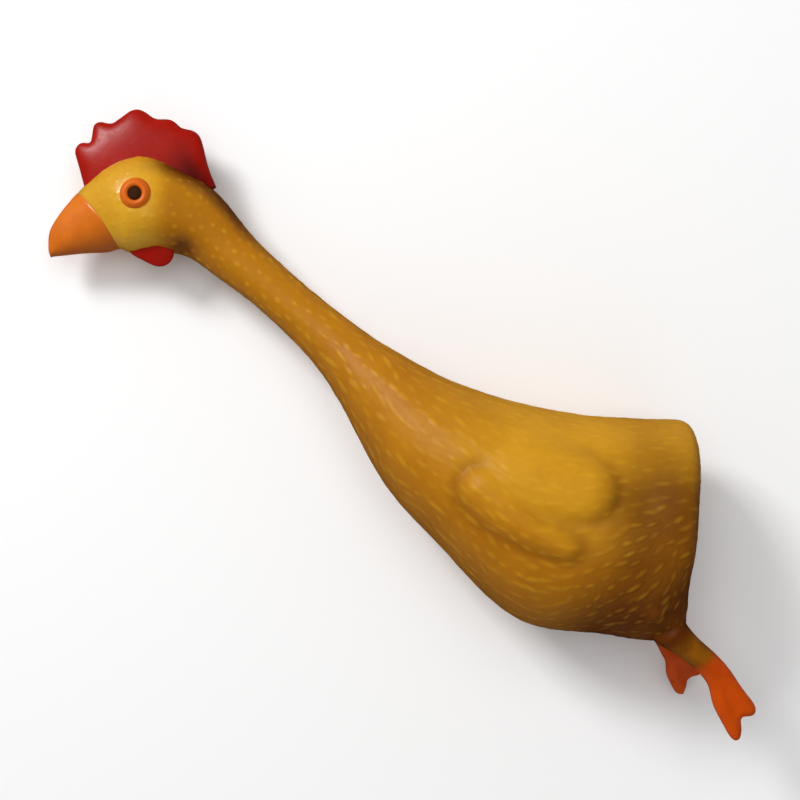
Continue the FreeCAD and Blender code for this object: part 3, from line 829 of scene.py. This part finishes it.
def plucked_vinyl(paints, finish):
    """The moulding's yellow vinyl: cloudy colour, the face's yellow with painted light on the back and wing,
    paler pimples, brown painted shade, fine grain.
    """
    material, tree, shader = new_material("plucked_vinyl")
    where = moulded_place(tree, (-1700, 200))
    pimple, power, face, shade, dimple = (
        mark(tree, name, (-1700, -180 * row))
        for row, name in enumerate(("pimple", "pimple_power", "face_yellow_and_painted_light", "shade", "dimple")))
    base = blend_colours(tree, (-1400, 260), face, tuple(paints.skin), tuple(paints.face))
    deep = blend_colours(tree, (-1400, 60), face, deeper(paints.skin, 0.72), deeper(paints.face, 0.78))
    cloud = place_group(tree, uneven_vinyl_group(), (-1150, 200), Place=where, Colour=base,
                        Deeper_Colour=deep, Cloud_Size=38.0, Amount=finish.mottle, Roughness=0.44)
    tip = calculate(tree, "MULTIPLY", (-1150, -120), ramp(tree, (-1400, -120), pimple, -0.6, 1.0), power)
    paler = calculate(tree, "MULTIPLY", (-960, -120), tip, finish.pale)
    # The painted shade's edge is uneven.
    smudge = noise(tree, (-1400, -420), where, 55.0, 3.0)
    edge = calculate(tree, "MULTIPLY_ADD", (-1150, -420), smudge, 0.5, -0.25)
    patchy = calculate(tree, "MULTIPLY_ADD", (-1000, -460), edge, shade, shade)
    patchy = calculate(tree, "MULTIPLY", (-700, -460), patchy, finish.shading)
    # A dark ring of painted shade lies round each pimple of the rump, in the hollow sunk round it.
    ring = calculate(tree, "MULTIPLY", (-960, -760), ramp(tree, (-1150, -760), pimple, -1.1, -0.35),
                     ramp(tree, (-1150, -940), pimple, 0.35, -0.2))
    ring = calculate(tree, "MULTIPLY", (-780, -760), ring, dimple)
    ring = calculate(tree, "MULTIPLY", (-620, -760), ring, 0.25)
    # Mix in the painted shade and its dark rings; pimple tips in the painted shade are darkened too.
    sprayed = blend_colours(tree, (-520, 160), patchy, cloud.outputs["Colour"], tuple(paints.shade))
    sprayed = blend_colours(tree, (-340, 160), ring, sprayed, deeper(paints.shade, 0.55))
    tips = blend_colours(tree, (-520, -60), patchy, tuple(paints.pimple), deeper(paints.pimple, 0.55))
    tipped = blend_colours(tree, (-160, 160), paler, sprayed, tips)
    worn = calculate(tree, "MULTIPLY_ADD", (-340, -120), tip, -0.05, cloud.outputs["Roughness"])
    grain = place_group(tree, vinyl_grain_group(), (-520, -300), Place=where, Grain_Size=1500.0, Waves=0.9)
    knob = calculate(tree, "MULTIPLY_ADD", (-340, -420), tip, 0.5, grain.outputs["Height"])
    roughen(tree, shader, finish, knob, (-160, -300), 0.0004)
    glazed = ramp(tree, (-340, -560), face, 0.65, 1.0)
    feed(tree, (shader.inputs["Base Color"], tipped), (shader.inputs["Roughness"], worn),
         (shader.inputs["Coat Weight"], glazed))
    set_shader(shader, Coat_Roughness=0.24, Coat_IOR=1.5, Specular_IOR_Level=0.2, Subsurface_Weight=0.06,
               Subsurface_Radius=(0.004, 0.0016, 0.0004), Subsurface_Scale=1.0, IOR=VINYL_IOR)
    return material


def cloudy_surface(name, where_of, finish, cloud, grain, distance):
    """A material with cloudy colour and fine grain. where_of gives its pattern's places, cloud and
    grain hold the values of the two groups."""
    material, tree, shader = new_material(name)
    where = where_of(tree)
    cloudy = place_group(tree, uneven_vinyl_group(), (-620, 120), Place=where, **cloud)
    fine = place_group(tree, vinyl_grain_group(), (-620, -160), Place=where, **grain)
    feed(tree, (shader.inputs["Base Color"], cloudy.outputs["Colour"]),
         (shader.inputs["Roughness"], cloudy.outputs["Roughness"]))
    roughen(tree, shader, finish, fine.outputs["Height"], (-320, -160), distance)
    return material, tree, shader, cloudy.outputs["Colour"]


def painted_vinyl(name, rgba, finish, roughness=0.3, cloud=70.0, amount=0.45, gloss=0.3):
    """Sprayed paint on the vinyl: its material, tree, shader and slightly cloudy colour."""
    made = cloudy_surface(
        name, lambda tree: moulded_place(tree, (-900, 0)), finish,
        {"Colour": tuple(rgba), "Deeper_Colour": deeper(rgba, 0.72), "Cloud_Size": cloud,
         "Amount": amount, "Roughness": roughness},
        {"Grain_Size": 1700.0, "Waves": 0.7}, 0.0003)
    set_shader(made[2], IOR=VINYL_IOR, Specular_IOR_Level=gloss)
    return made


def shaded_paint(name, rgba, finish, shade, **values):
    """Painted vinyl darkened with painted shade where the kept shade is high."""
    material, tree, shader, colour_of = painted_vinyl(name, rgba, finish, **values)
    mixed = blend_colours(tree, (-300, 300), mark(tree, "shade", (-620, 380)), colour_of, tuple(shade))
    feed(tree, (shader.inputs["Base Color"], mixed))
    return material


def moulded_plastic(name, rgba, finish, roughness):
    """Plain injection-moulded plastic with faint flow marks, in the frame's own coordinates."""
    return cloudy_surface(
        name, lambda tree: add(tree, "ShaderNodeTexCoord", (-900, 0)).outputs["Object"], finish,
        {"Colour": tuple(rgba), "Deeper_Colour": deeper(rgba, 0.8), "Cloud_Size": 160.0,
         "Amount": 0.3, "Roughness": roughness},
        {"Grain_Size": 3000.0, "Waves": 0.3}, 0.0001)[0]


def give(piece, material):
    """Put a material on a piece, in place of any it has."""
    piece.data.materials.clear()
    piece.data.materials.append(material)


# ------------------------------------------------------------------- pieces


def inside_outline(places, outline):
    """True for places inside a closed outline."""
    inside = np.zeros(len(places), bool)
    after = np.roll(outline, -1, 0)
    for (x0, y0), (x1, y1) in zip(outline, after):
        crossing = (y0 > places[:, 1]) != (y1 > places[:, 1])
        if y1 != y0:
            inside ^= crossing & (places[:, 0] < (x1 - x0) * (places[:, 1] - y0) / (y1 - y0) + x0)
    return inside


def fill_outline(outline, rim, spacing):
    """Triangles inside a closed outline, with rows of places close to its rim."""
    rows = []
    run = np.gradient(rim, axis=0)
    inward = unit(np.stack([-run[:, 1], run[:, 0]], 1))
    trial = len(rim) // 3
    if not inside_outline((rim + 0.3 * inward)[trial:trial + 1], outline)[0]:
        inward = -inward
    for depth in (0.12, 0.42, 0.9, 1.6):
        row = rim + inward * depth
        keep = inside_outline(row, outline) & (distance_to_line(row, rim) > 0.93 * depth)
        rows.append(row[keep])
    low, high = outline.min(0), outline.max(0)
    x, y = np.meshgrid(np.arange(low[0], high[0], spacing), np.arange(low[1], high[1], spacing * 0.87),
                       indexing="ij")
    x = x + (np.arange(x.shape[1]) % 2) * spacing / 2.0
    mesh = np.stack([x.ravel(), y.ravel()], 1)
    closed = np.concatenate([outline, outline[:1]])
    mesh = mesh[inside_outline(mesh, outline)]
    mesh = mesh[(distance_to_line(mesh, rim) > 2.0) & (distance_to_line(mesh, closed) > 0.35 * spacing)]
    places = np.concatenate([outline] + rows + [mesh])
    count = len(outline)
    edges = [(i, (i + 1) % count) for i in range(count)]
    result = delaunay_2d_cdt([Vector(place) for place in places], edges, [], 1, 1e-7)
    return np.array([tuple(place) for place in result[0]]), np.array(result[2])


def inflated(places, faces, held):
    """Height, up to 1, of a film over the outline that is blown up and held at its rim."""
    starts, ends, weights = [], [], []
    load = np.zeros(len(places))
    for turn in range(3):
        a, b, c = faces[:, turn], faces[:, (turn + 1) % 3], faces[:, (turn + 2) % 3]
        one, two = places[a] - places[c], places[b] - places[c]
        area = np.abs(one[:, 0] * two[:, 1] - one[:, 1] * two[:, 0])
        starts.append(a)
        ends.append(b)
        weights.append(np.maximum((one * two).sum(1) / np.maximum(area, 1e-6), 1e-3) / 2.0)
        load += np.bincount(a, area / 6.0, len(places))
    start, end, weight = np.concatenate(starts), np.concatenate(ends), np.concatenate(weights)
    count = len(places)

    def pull(film):
        flow = weight * (film[start] - film[end])
        total = np.bincount(start, flow, count) - np.bincount(end, flow, count)
        return np.where(held, 0.0, total)

    film = np.zeros(count)
    left = np.where(held, 0.0, load)
    way, size = left.copy(), (left * left).sum()
    for _ in range(1500):
        moved = pull(way)
        stride = size / (way @ moved)
        film += stride * way
        left -= stride * moved
        before, size = size, (left * left).sum()
        if size < 1e-14 * count:
            break
        way = left + size / before * way
    return np.clip(film / film.max(), 0.0, 1.0)


def cushion(name, rim, root, half_breadth, lay, spacing=0.9, step=0.5, blown=False):
    """A soft rounded piece with two faces that meet along its rim. half_breadth gives its half
    breadth from places and their depth inside the rim, or the height of a blown film over them;
    lay puts places and heights into space."""
    rim = smooth_line(rim, step)
    root = np.array(root, float).reshape(-1, 2)
    if len(root):
        root = smooth_line(np.concatenate([rim[-1:], root, rim[:1]]), 1.5)[1:-1]
    outline = np.concatenate([rim, root])
    if not len(root):
        rim = np.concatenate([rim, rim[:1]])
    places, faces = fill_outline(outline, rim, spacing)
    depth = distance_to_line(places, rim)
    on_rim = depth < 1e-5
    if blown:
        depth = inflated(places, faces, on_rim)
    height = np.where(on_rim, 0.0, half_breadth(places, depth))
    count = len(places)
    back_index = np.where(on_rim, np.arange(count), count + np.cumsum(~on_rim) - 1)
    front = lay(places, height)
    back = lay(places[~on_rim], -height[~on_rim])
    corner = places[faces]
    (ax, ay), (bx, by) = (corner[:, 1] - corner[:, 0]).T, (corner[:, 2] - corner[:, 0]).T
    flip = (ax * by - ay * bx) < 0
    faces = np.where(flip[:, None], faces[:, ::-1], faces)
    all_faces = [tuple(face) for face in faces] + [tuple(face[::-1]) for face in back_index[faces]]
    seen = {(int(start), int(end)): True for face in faces for start, end in zip(face, np.roll(face, -1))}
    for start, end in seen:
        if (end, start) not in seen and not (on_rim[start] and on_rim[end]):
            wall = [end, start, int(back_index[start]), int(back_index[end])]
            all_faces.append(tuple(dict.fromkeys(wall)))
    return new_piece(name, np.concatenate([front, back]), all_faces)


def rounded(depth, radius):
    """Profile of a rounded edge: 0 at the rim, 1 from radius inward."""
    return np.sqrt(np.maximum(0.0, 1.0 - (1.0 - np.clip(depth / radius, 0.0, 1.0)) ** 2))


def turned(name, profile, centre, axis, close=False):
    """A turned piece: a smooth profile of radius and height round an axis at a centre."""
    around = 64
    axis = unit(np.array(axis, float))
    first = unit(np.cross(axis, (0.0, 1.0, 0.0)))
    second = np.cross(axis, first)
    line = smooth_line(profile, 0.18)
    angle = round_angles(around)
    circle = np.cos(angle)[:, None] * first + np.sin(angle)[:, None] * second
    points = np.array([np.array(centre) + radius * circle + height * axis for radius, height in line])
    faces = [tuple(face) for face in grid_faces(len(line), around)[0]]
    flat = points.reshape(-1, 3)
    if close:
        tip = len(flat)
        flat = np.concatenate([flat, [np.array(centre) + line[-1][1] * axis]])
        last = (len(line) - 1) * around
        faces += [(last + i, tip, last + (i + 1) % around) for i in range(around)]
    return new_piece(name, flat, faces)


class CHICKEN_OT_skin(bpy.types.Operator):
    """Build the hollow skin from the vent to the face, with wings, pimples and thighs, and divide
    it where the soft wall bends"""

    bl_idname = "chicken.skin"
    bl_label = "Skin"

    def execute(self, context):
        sizes = sizes_in_millimetres(context)
        grid = skin_grid(sizes)
        material = plucked_vinyl(context.scene.chicken_paints, context.scene.chicken_finish)
        places, tailward, cuts = self.neck_cuts(grid)
        faces, ring = grid["faces"], grid["ring"]
        body = ring < cuts[0]
        names = ["neck_root_skin", "neck_low_skin", "neck_middle_skin", "neck_high_skin", "nape_skin"]
        nodes = ["neck_skin_1", "neck_skin_2", "neck_skin_3", "neck_skin_4", None]
        for i, name in enumerate(names):
            chosen = faces[(ring >= cuts[i]) & (ring < cuts[i + 1])]
            piece = piece_from_grid(name, grid, chosen)
            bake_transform(piece)
            if nodes[i]:
                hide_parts(nodes[i])
            self.finish_piece(piece, material)
        face = piece_from_grid("face_skin", grid, faces[ring >= cuts[5]])
        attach(face, "head")
        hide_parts("head_skin")
        self.finish_piece(face, material)

        points = grid["points"]
        for side in SIDES:
            _, depth, _, radius = round_the_leg(points, side)
            near = (depth > depth[radius < 8.0].max() - THIGH_DEPTH) & (radius < THIGH_RADIUS)
            chosen = body & near[faces].any(1)
            body &= ~chosen
            piece = piece_from_grid("thigh_skin_" + side, grid, faces[chosen])
            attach(piece, "torso")
            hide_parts("thigh_" + side)
            self.finish_piece(piece, material)

        # The flank that gives way is what lies above this height, across a slightly leaning plane.
        lean = np.array([-0.15, 0.0, 0.989])
        chosen = body & (points @ lean > 66.0)[faces].any(1)
        body &= ~chosen
        flank = piece_from_grid("flank_skin", grid, faces[chosen])
        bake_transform(flank)
        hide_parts("flank_panel")
        self.finish_piece(flank, material)
        piece = piece_from_grid("body_skin", grid, faces[body])
        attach(piece, "torso")
        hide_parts("torso_skin")
        self.finish_piece(piece, material)
        return {"FINISHED"}

    @staticmethod
    def neck_cuts(grid):
        """The neck's five hinges, the way to the tail at each, and the rings where the skin is
        divided: before the first hinge, between hinges, and beyond the last."""
        names = ("neck_base", "neck_lower", "neck_middle", "neck_upper", "head_nod")
        places = np.array([joint_place(name) for name in names])
        ends = np.concatenate([places[:1], places, places[-1:]])
        tailward = unit(ends[:-2] - ends[2:])
        cuts = [places[0] + NECK_ROOT_CUT * tailward[0]]
        cuts += list((places[:-1] + places[1:]) / 2.0)
        cuts.append(places[-1] - NAPE_CUT * tailward[-1])
        return places, tailward, [ring_at(grid, cut) for cut in cuts]

    @staticmethod
    def finish_piece(piece, material):
        """Material of a skin piece."""
        give(piece, material)


class CHICKEN_OT_bill(bpy.types.Operator):
    """Build the hooked bill over the front of the face, in an upper and a lower half"""

    bl_idname = "chicken.bill"
    bl_label = "Bill"

    def execute(self, context):
        sizes = sizes_in_millimetres(context)
        trunk = Trunk(sizes)
        columns = round_angles(BILL_AROUND)
        scan = np.linspace(trunk.knots[17], trunk.knots[23], 400)
        at, angle = np.meshgrid(scan, columns, indexing="ij")
        beyond = bill_side(trunk.base(at, angle)) > 0.0
        first = scan[np.argmax(beyond, axis=0)]
        share_of = np.linspace(0.0, 1.0, 70) ** 1.15
        reach = share_of[:, None] * (trunk.end - first)
        angle = np.tile(columns, (len(share_of), 1))
        lift = -BILL_ROOT + (BILL_ROOT + sizes["bill_step"]) * rounded(reach, 1.4)
        points = trunk.surface(first + (trunk.end - first) * share_of[:, None], angle, lift)
        tip = points[-1].mean(0)
        ends = []
        for inset in (0.3, 0.6, 0.85, 0.97):
            push = 1.7 * math.sqrt(1.0 - (1.0 - inset) ** 2)
            ends.append(tip + (points[-1] - tip) * (1.0 - inset) + np.array([0.45, -0.89, 0.0]) * push)
        points = np.concatenate([points, np.array(ends)])
        rings = len(points)
        faces = grid_faces(rings, BILL_AROUND)[0]
        face_angles = np.tile(columns + math.pi / BILL_AROUND, rings - 1)
        lower = np.abs(face_angles - math.pi) < LOWER_BILL
        normals = grid_normals(points).reshape(-1, 3)
        # The underside of the bill, turned from the light, is darkened: painted shade.
        shade = smoothstep(0.1, -0.9, np.cos(np.tile(columns, (rings, 1)))).ravel() * 0.5
        grid = {"points": points.reshape(-1, 3), "normals": normals, "marks": {"shade": shade}}
        paints, finish = context.scene.chicken_paints, context.scene.chicken_finish
        material = shaded_paint("bill_paint", paints.bill, finish, deeper(paints.bill, 0.3),
                                roughness=0.33, cloud=60.0, amount=0.4, gloss=0.6)
        for name, chosen in (("upper_bill_paint", ~lower), ("lower_bill_paint", lower)):
            piece = piece_from_grid(name, grid, faces[chosen])
            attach(piece, "head")
            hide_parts(name.replace("_paint", ""))
            give(piece, material)
        return {"FINISHED"}


class CHICKEN_OT_comb(bpy.types.Operator):
    """Build the soft lobed comb"""

    bl_idname = "chicken.comb"
    bl_label = "Comb"

    def execute(self, context):
        full = sizes_in_millimetres(context)["comb"]

        def half_breadth(places, film):
            return full * film ** 0.33

        def lay(places, height):
            return np.column_stack([places, HEAD_PLANE + height])

        piece = cushion("comb_lobes", COMB_RIM, COMB_ROOT, half_breadth, lay, blown=True)
        self.mark_shade(piece)
        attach(piece, "head")
        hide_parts("comb")
        paints, finish = context.scene.chicken_paints, context.scene.chicken_finish
        give(piece, shaded_paint("comb_paint", paints.comb, finish, deeper(paints.comb, 0.12),
                                 roughness=0.3, cloud=48.0, amount=0.3, gloss=0.28))
        return {"FINISHED"}

    @staticmethod
    def mark_shade(piece):
        """Keep how much painted shade darkens the back corner of the comb, next to the nape, where it lies in
        shadow.
        """
        x, y, _ = places_of(piece).T
        band = smoothstep(15.0, 4.0, y - 16.5 + 0.33 * (x + 165.0)) * smoothstep(-186.0, -162.0, x)
        keep_mark(piece, "shade", 0.9 * band)


class CHICKEN_OT_wattles(bpy.types.Operator):
    """Build the two wattles under the throat"""

    bl_idname = "chicken.wattles"
    bl_label = "Wattles"

    def execute(self, context):
        full = sizes_in_millimetres(context)["wattle"]
        paints, finish = context.scene.chicken_paints, context.scene.chicken_finish
        material = painted_vinyl("wattle_paint", paints.comb, finish, amount=0.5)[0]

        def half_breadth(places, film):
            return full * film ** 0.5

        for side, sign, shift in (("left", 1.0, 0.0), ("right", -1.0, 1.5)):

            def lay(places, height, sign=sign, shift=shift):
                lean = 0.12 * (places[:, 1] + 22.0)
                return np.column_stack([places - (shift, 0.0), HEAD_PLANE + sign * (4.4 + lean) + height])

            piece = cushion("wattle_drop_" + side, WATTLE_RIM, WATTLE_ROOT, half_breadth, lay,
                            spacing=0.8, blown=True)
            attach(piece, "head")
            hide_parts("wattle_" + side)
            give(piece, material)
        return {"FINISHED"}


class CHICKEN_OT_eyes(bpy.types.Operator):
    """Build the raised orange rings and the dark pupils"""

    bl_idname = "chicken.eyes"
    bl_label = "Eyes"

    def execute(self, context):
        sizes = sizes_in_millimetres(context)
        trunk = Trunk(sizes)
        paints, finish = context.scene.chicken_paints, context.scene.chicken_finish
        ring_paint = painted_vinyl("eye_ring_paint", paints.eye, finish, roughness=0.34, cloud=90.0,
                                   amount=0.3)[0]
        pupil_paint = painted_vinyl("pupil_paint", paints.pupil, finish, roughness=0.6, cloud=200.0,
                                    amount=0.5, gloss=0.05)[0]
        outer, inner = sizes["eye_ring"], sizes["pupil"]
        middle = (outer + inner) / 2.0
        for side in SIDES:
            low, high = (np.array(corner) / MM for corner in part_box("eye_ring_" + side))
            centre = (low + high) / 2.0 + EYE_SHIFT
            start = math.pi / 2.0 if side == "left" else 1.5 * math.pi
            at, angle = np.meshgrid(np.linspace(trunk.knots[16], trunk.knots[20], 160),
                                    start + np.linspace(-0.9, 0.9, 160), indexing="ij")
            skin = trunk.surface(at, angle)
            gap = np.hypot(skin[..., 0] - centre[0], skin[..., 1] - centre[1])
            row, column = np.unravel_index(gap.argmin(), at.shape)
            place = skin[row, column]
            normal = trunk.base_normal(at, angle)[row, column]
            normal = normal + np.sign(normal[2]) * UP
            ring = [(outer + 0.9, -2.2), (outer + 0.15, -0.5), (outer - 0.4, 0.7), (outer - 1.3, 1.7),
                    (middle + 0.1, 2.25), (inner + 0.9, 2.15), (inner + 0.25, 1.6), (inner + 0.05, 0.8),
                    (inner, -0.4)]
            piece = turned("eye_bulge_" + side, ring, place, normal)
            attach(piece, "head")
            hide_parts("eye_ring_" + side)
            give(piece, ring_paint)
            dome = [(inner + 0.2, 0.4), (inner - 0.1, 1.1), (inner * 0.75, 1.55), (inner * 0.4, 1.8),
                    (0.25, 1.9)]
            piece = turned("pupil_dome_" + side, dome, place, normal, close=True)
            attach(piece, "head")
            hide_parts("pupil_" + side)
            give(piece, pupil_paint)
        return {"FINISHED"}


class CHICKEN_OT_legs(bpy.types.Operator):
    """Build the two shanks with their webbed feet"""

    bl_idname = "chicken.legs"
    bl_label = "Legs and feet"

    def execute(self, context):
        paints, finish = context.scene.chicken_paints, context.scene.chicken_finish
        material = self.leg_material(paints, finish)
        for side in SIDES:
            hip, ankle = joint_place(side + "_hip"), joint_place(side + "_ankle")
            shank = unit(ankle - hip)
            foot = self.foot_way(np.array(JOINTS[side + "_ankle"]["axis"]), np.array(TOES[side]) - ankle)
            scale = min(1.0, np.linalg.norm(ankle - hip) / FULL_SHANK)
            line, ways = self.centre_line(ankle, shank, foot)
            inward = -1.0 if side == "left" else 1.0
            girth = GIRTH[side]

            def lay(places, height):
                def read(table):
                    return np.column_stack([np.interp(along, LEG_STATIONS, table[:, k]) for k in range(3)])

                along = np.where(places[:, 0] < 0.0, places[:, 0] * scale, places[:, 0])
                middle, way = read(line), read(ways)
                middle[:, 2] += inward * 0.55 * np.maximum(0.0, -28.0 - along)
                across = unit(np.cross(UP, way))
                up = unit(np.cross(way, across))
                thinner = 1.0 + (girth - 1.0) * smoothstep(4.0, -8.0, along)
                spots = middle + across * (places[:, 1:2] * thinner[:, None]) + up * height[:, None]
                spots[:, 2] = np.maximum(spots[:, 2], 0.0)
                return spots

            piece = cushion("leg_and_foot_" + side, LEG_RIM, [], self.half_breadth, lay,
                            spacing=0.8, step=0.45)
            way = unit(shank + foot)
            self.mark_paint(piece, ankle, way)
            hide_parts("leg_" + side, "foot_" + side)
            give(piece, material)
            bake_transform(piece)
        return {"FINISHED"}

    @staticmethod
    def foot_way(axis, way):
        """The foot's direction: square to the ankle's axis, towards its toes."""
        return unit(way - (way @ axis) * axis)

    @staticmethod
    def centre_line(ankle, shank, foot):
        """The leg's middle line, bent smoothly at the ankle, and its direction at each station."""
        turn = smoothstep(-9.0, 9.0, LEG_STATIONS)[:, None]
        ways = unit(shank * (1.0 - turn) + foot * turn)
        line = np.cumsum(ways * LEG_STEP, axis=0)
        return line - line[np.argmin(np.abs(LEG_STATIONS))] + ankle, ways

    @staticmethod
    def half_breadth(places, depth):
        """Half the thickness of a leg: round at the shank, flat with raised toes at the foot."""
        full, radius = (np.interp(places[:, 0], LEG_ROUND[:, 0], LEG_ROUND[:, k]) for k in (1, 2))
        height = full * rounded(depth, radius)
        for start, end, rise in TOE_RIDGES:
            ridge = np.exp(-(distance_to_line(places, np.array([start, end])) / 2.6) ** 2)
            height = height + rise * ridge * smoothstep(0.0, 3.0, depth) * smoothstep(6.0, 16.0, places[:, 0])
        return height

    @staticmethod
    def mark_paint(piece, ankle, way):
        """Keep how much of the foot's paint each place has, and how much painted shade darkens it near the
        body.
        """
        run = (places_of(piece) - ankle) @ way
        keep_mark(piece, "foot_paint", smoothstep(-8.5, -1.5, run))
        keep_mark(piece, "shade", smoothstep(-15.0, -27.0, run))

    @staticmethod
    def leg_material(paints, finish):
        """Shank in the skin's vinyl, darkened with painted shade near the body, sprayed over to the foot's
        red-orange.
        """
        material, tree, shader, red = painted_vinyl("leg_paint", paints.foot, finish, roughness=0.36,
                                                    gloss=0.15)
        where = moulded_place(tree, (-900, 500))
        skin = place_group(tree, uneven_vinyl_group(), (-620, 460), Place=where,
                           Colour=deeper(paints.skin, 0.6), Deeper_Colour=tuple(paints.shade),
                           Cloud_Size=50.0, Amount=0.6, Roughness=0.45)
        cover = mark(tree, "foot_paint", (-900, 300))
        shaded = blend_colours(tree, (-460, 460), mark(tree, "shade", (-900, 700)), skin.outputs["Colour"],
                               tuple(paints.shade))
        feed(tree, (shader.inputs["Base Color"], blend_colours(tree, (-300, 300), cover, shaded, red)))
        return material


class CHICKEN_OT_squeaker(bpy.types.Operator):
    """Finish the squeaker's plug, seat and reed, whose shapes come from the frame"""

    bl_idname = "chicken.squeaker"
    bl_label = "Squeaker"

    def execute(self, context):
        paints, finish = context.scene.chicken_paints, context.scene.chicken_finish
        plug = moulded_plastic("squeaker_plastic", paints.squeaker, finish, 0.42)
        film = moulded_plastic("reed_film", deeper(paints.squeaker, 0.85), finish, 0.2)
        give(frame["nodes"]["squeaker_body"], plug)
        give(frame["nodes"]["reed_seat"], plug)
        give(frame["nodes"]["reed"], film)
        return {"FINISHED"}


class CHICKEN_OT_stage(bpy.types.Operator):
    """Set up the pale floor, the soft studio lights and the camera"""

    bl_idname = "chicken.stage"
    bl_label = "Stage"

    def execute(self, context):
        low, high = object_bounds()
        middle = (Vector(low) + Vector(high)) / 2.0
        mesh = bpy.data.meshes.new("studio_floor")
        mesh.from_pydata([(-4, -4, 0), (4, -4, 0), (4, 4, 0), (-4, 4, 0)], [], [(0, 1, 2, 3)])
        floor = bpy.data.objects.new("studio_floor", mesh)
        context.scene.collection.objects.link(floor)
        floor.location = (0.0, 0.0, -0.0002)
        floor.visible_glossy = False
        floor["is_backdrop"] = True
        material, _, shader = new_material("pale_floor")
        shader.inputs["Base Color"].default_value = tuple(context.scene.chicken_paints.floor)
        set_shader(shader, Roughness=0.9, Specular_IOR_Level=0.1)
        give(floor, material)

        for name, offset, size, power, glossy in LAMPS:
            self.lamp(context, name, middle, offset, size, power, glossy)
        world = bpy.data.worlds.new("studio_air")
        world.use_nodes = True
        sky = world.node_tree.nodes["Background"].inputs
        sky["Color"].default_value = (1.0, 1.0, 1.0, 1.0)
        sky["Strength"].default_value = 0.3
        world.cycles_visibility.glossy = False
        context.scene.world = world
        context.scene.view_settings.view_transform = "Standard"

        camera = bpy.data.objects.new("camera", bpy.data.cameras.new("camera"))
        camera.data.sensor_width = 36.0
        camera.data.lens = CAMERA_LENS
        camera.location = (middle.x + CAMERA_SHIFT[0], middle.y + CAMERA_SHIFT[1], CAMERA_HEIGHT)
        camera.rotation_euler = (0.0, 0.0, CAMERA_TURN)
        context.scene.collection.objects.link(camera)
        context.scene.camera = camera
        return {"FINISHED"}

    @staticmethod
    def lamp(context, name, middle, offset, size, power, glossy):
        """A square soft light aimed at the chicken, which shows in gloss only if asked to."""
        data = bpy.data.lights.new(name, "AREA")
        data.shape = "SQUARE"
        data.size = size
        data.energy = power
        light = bpy.data.objects.new(name, data)
        light.visible_glossy = glossy
        light.location = middle + Vector(offset)
        light.rotation_euler = (-Vector(offset)).to_track_quat("-Z", "Y").to_euler()
        context.scene.collection.objects.link(light)


OPERATORS = (CHICKEN_OT_skin, CHICKEN_OT_bill, CHICKEN_OT_comb, CHICKEN_OT_wattles, CHICKEN_OT_eyes,
             CHICKEN_OT_legs, CHICKEN_OT_squeaker, CHICKEN_OT_stage)


class CHICKEN_PT_panel(bpy.types.Panel):
    """Sidebar panel with the chicken's pieces, paints and sizes"""

    bl_idname = "CHICKEN_PT_panel"
    bl_label = "Rubber chicken"
    bl_space_type = "VIEW_3D"
    bl_region_type = "UI"
    bl_category = "Chicken"

    def draw(self, context):
        for operator in OPERATORS:
            self.layout.operator(operator.bl_idname)
        for title, group in (("Paints", context.scene.chicken_paints), ("Sizes", context.scene.chicken_sizes),
                             ("Finish", context.scene.chicken_finish)):
            box = self.layout.box()
            box.label(text=title)
            for name in type(group).__annotations__:
                box.prop(group, name)


CLASSES = (ChickenPaints, ChickenSizes, ChickenFinish, *OPERATORS, CHICKEN_PT_panel)


def register():
    for item in CLASSES:
        bpy.utils.register_class(item)
    bpy.types.Scene.chicken_paints = bpy.props.PointerProperty(type=ChickenPaints)
    bpy.types.Scene.chicken_sizes = bpy.props.PointerProperty(type=ChickenSizes)
    bpy.types.Scene.chicken_finish = bpy.props.PointerProperty(type=ChickenFinish)


def unregister():
    del bpy.types.Scene.chicken_paints
    del bpy.types.Scene.chicken_sizes
    del bpy.types.Scene.chicken_finish
    for item in reversed(CLASSES):
        bpy.utils.unregister_class(item)


def main():
    """Build every piece and the stage."""
    register()
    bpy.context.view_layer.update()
    for operator in OPERATORS:
        name = operator.bl_idname.split(".")[1]
        if getattr(bpy.ops.chicken, name)() != {"FINISHED"}:
            raise RuntimeError("the operator for " + name + " did not finish")


if __name__ == "__main__":
    main()
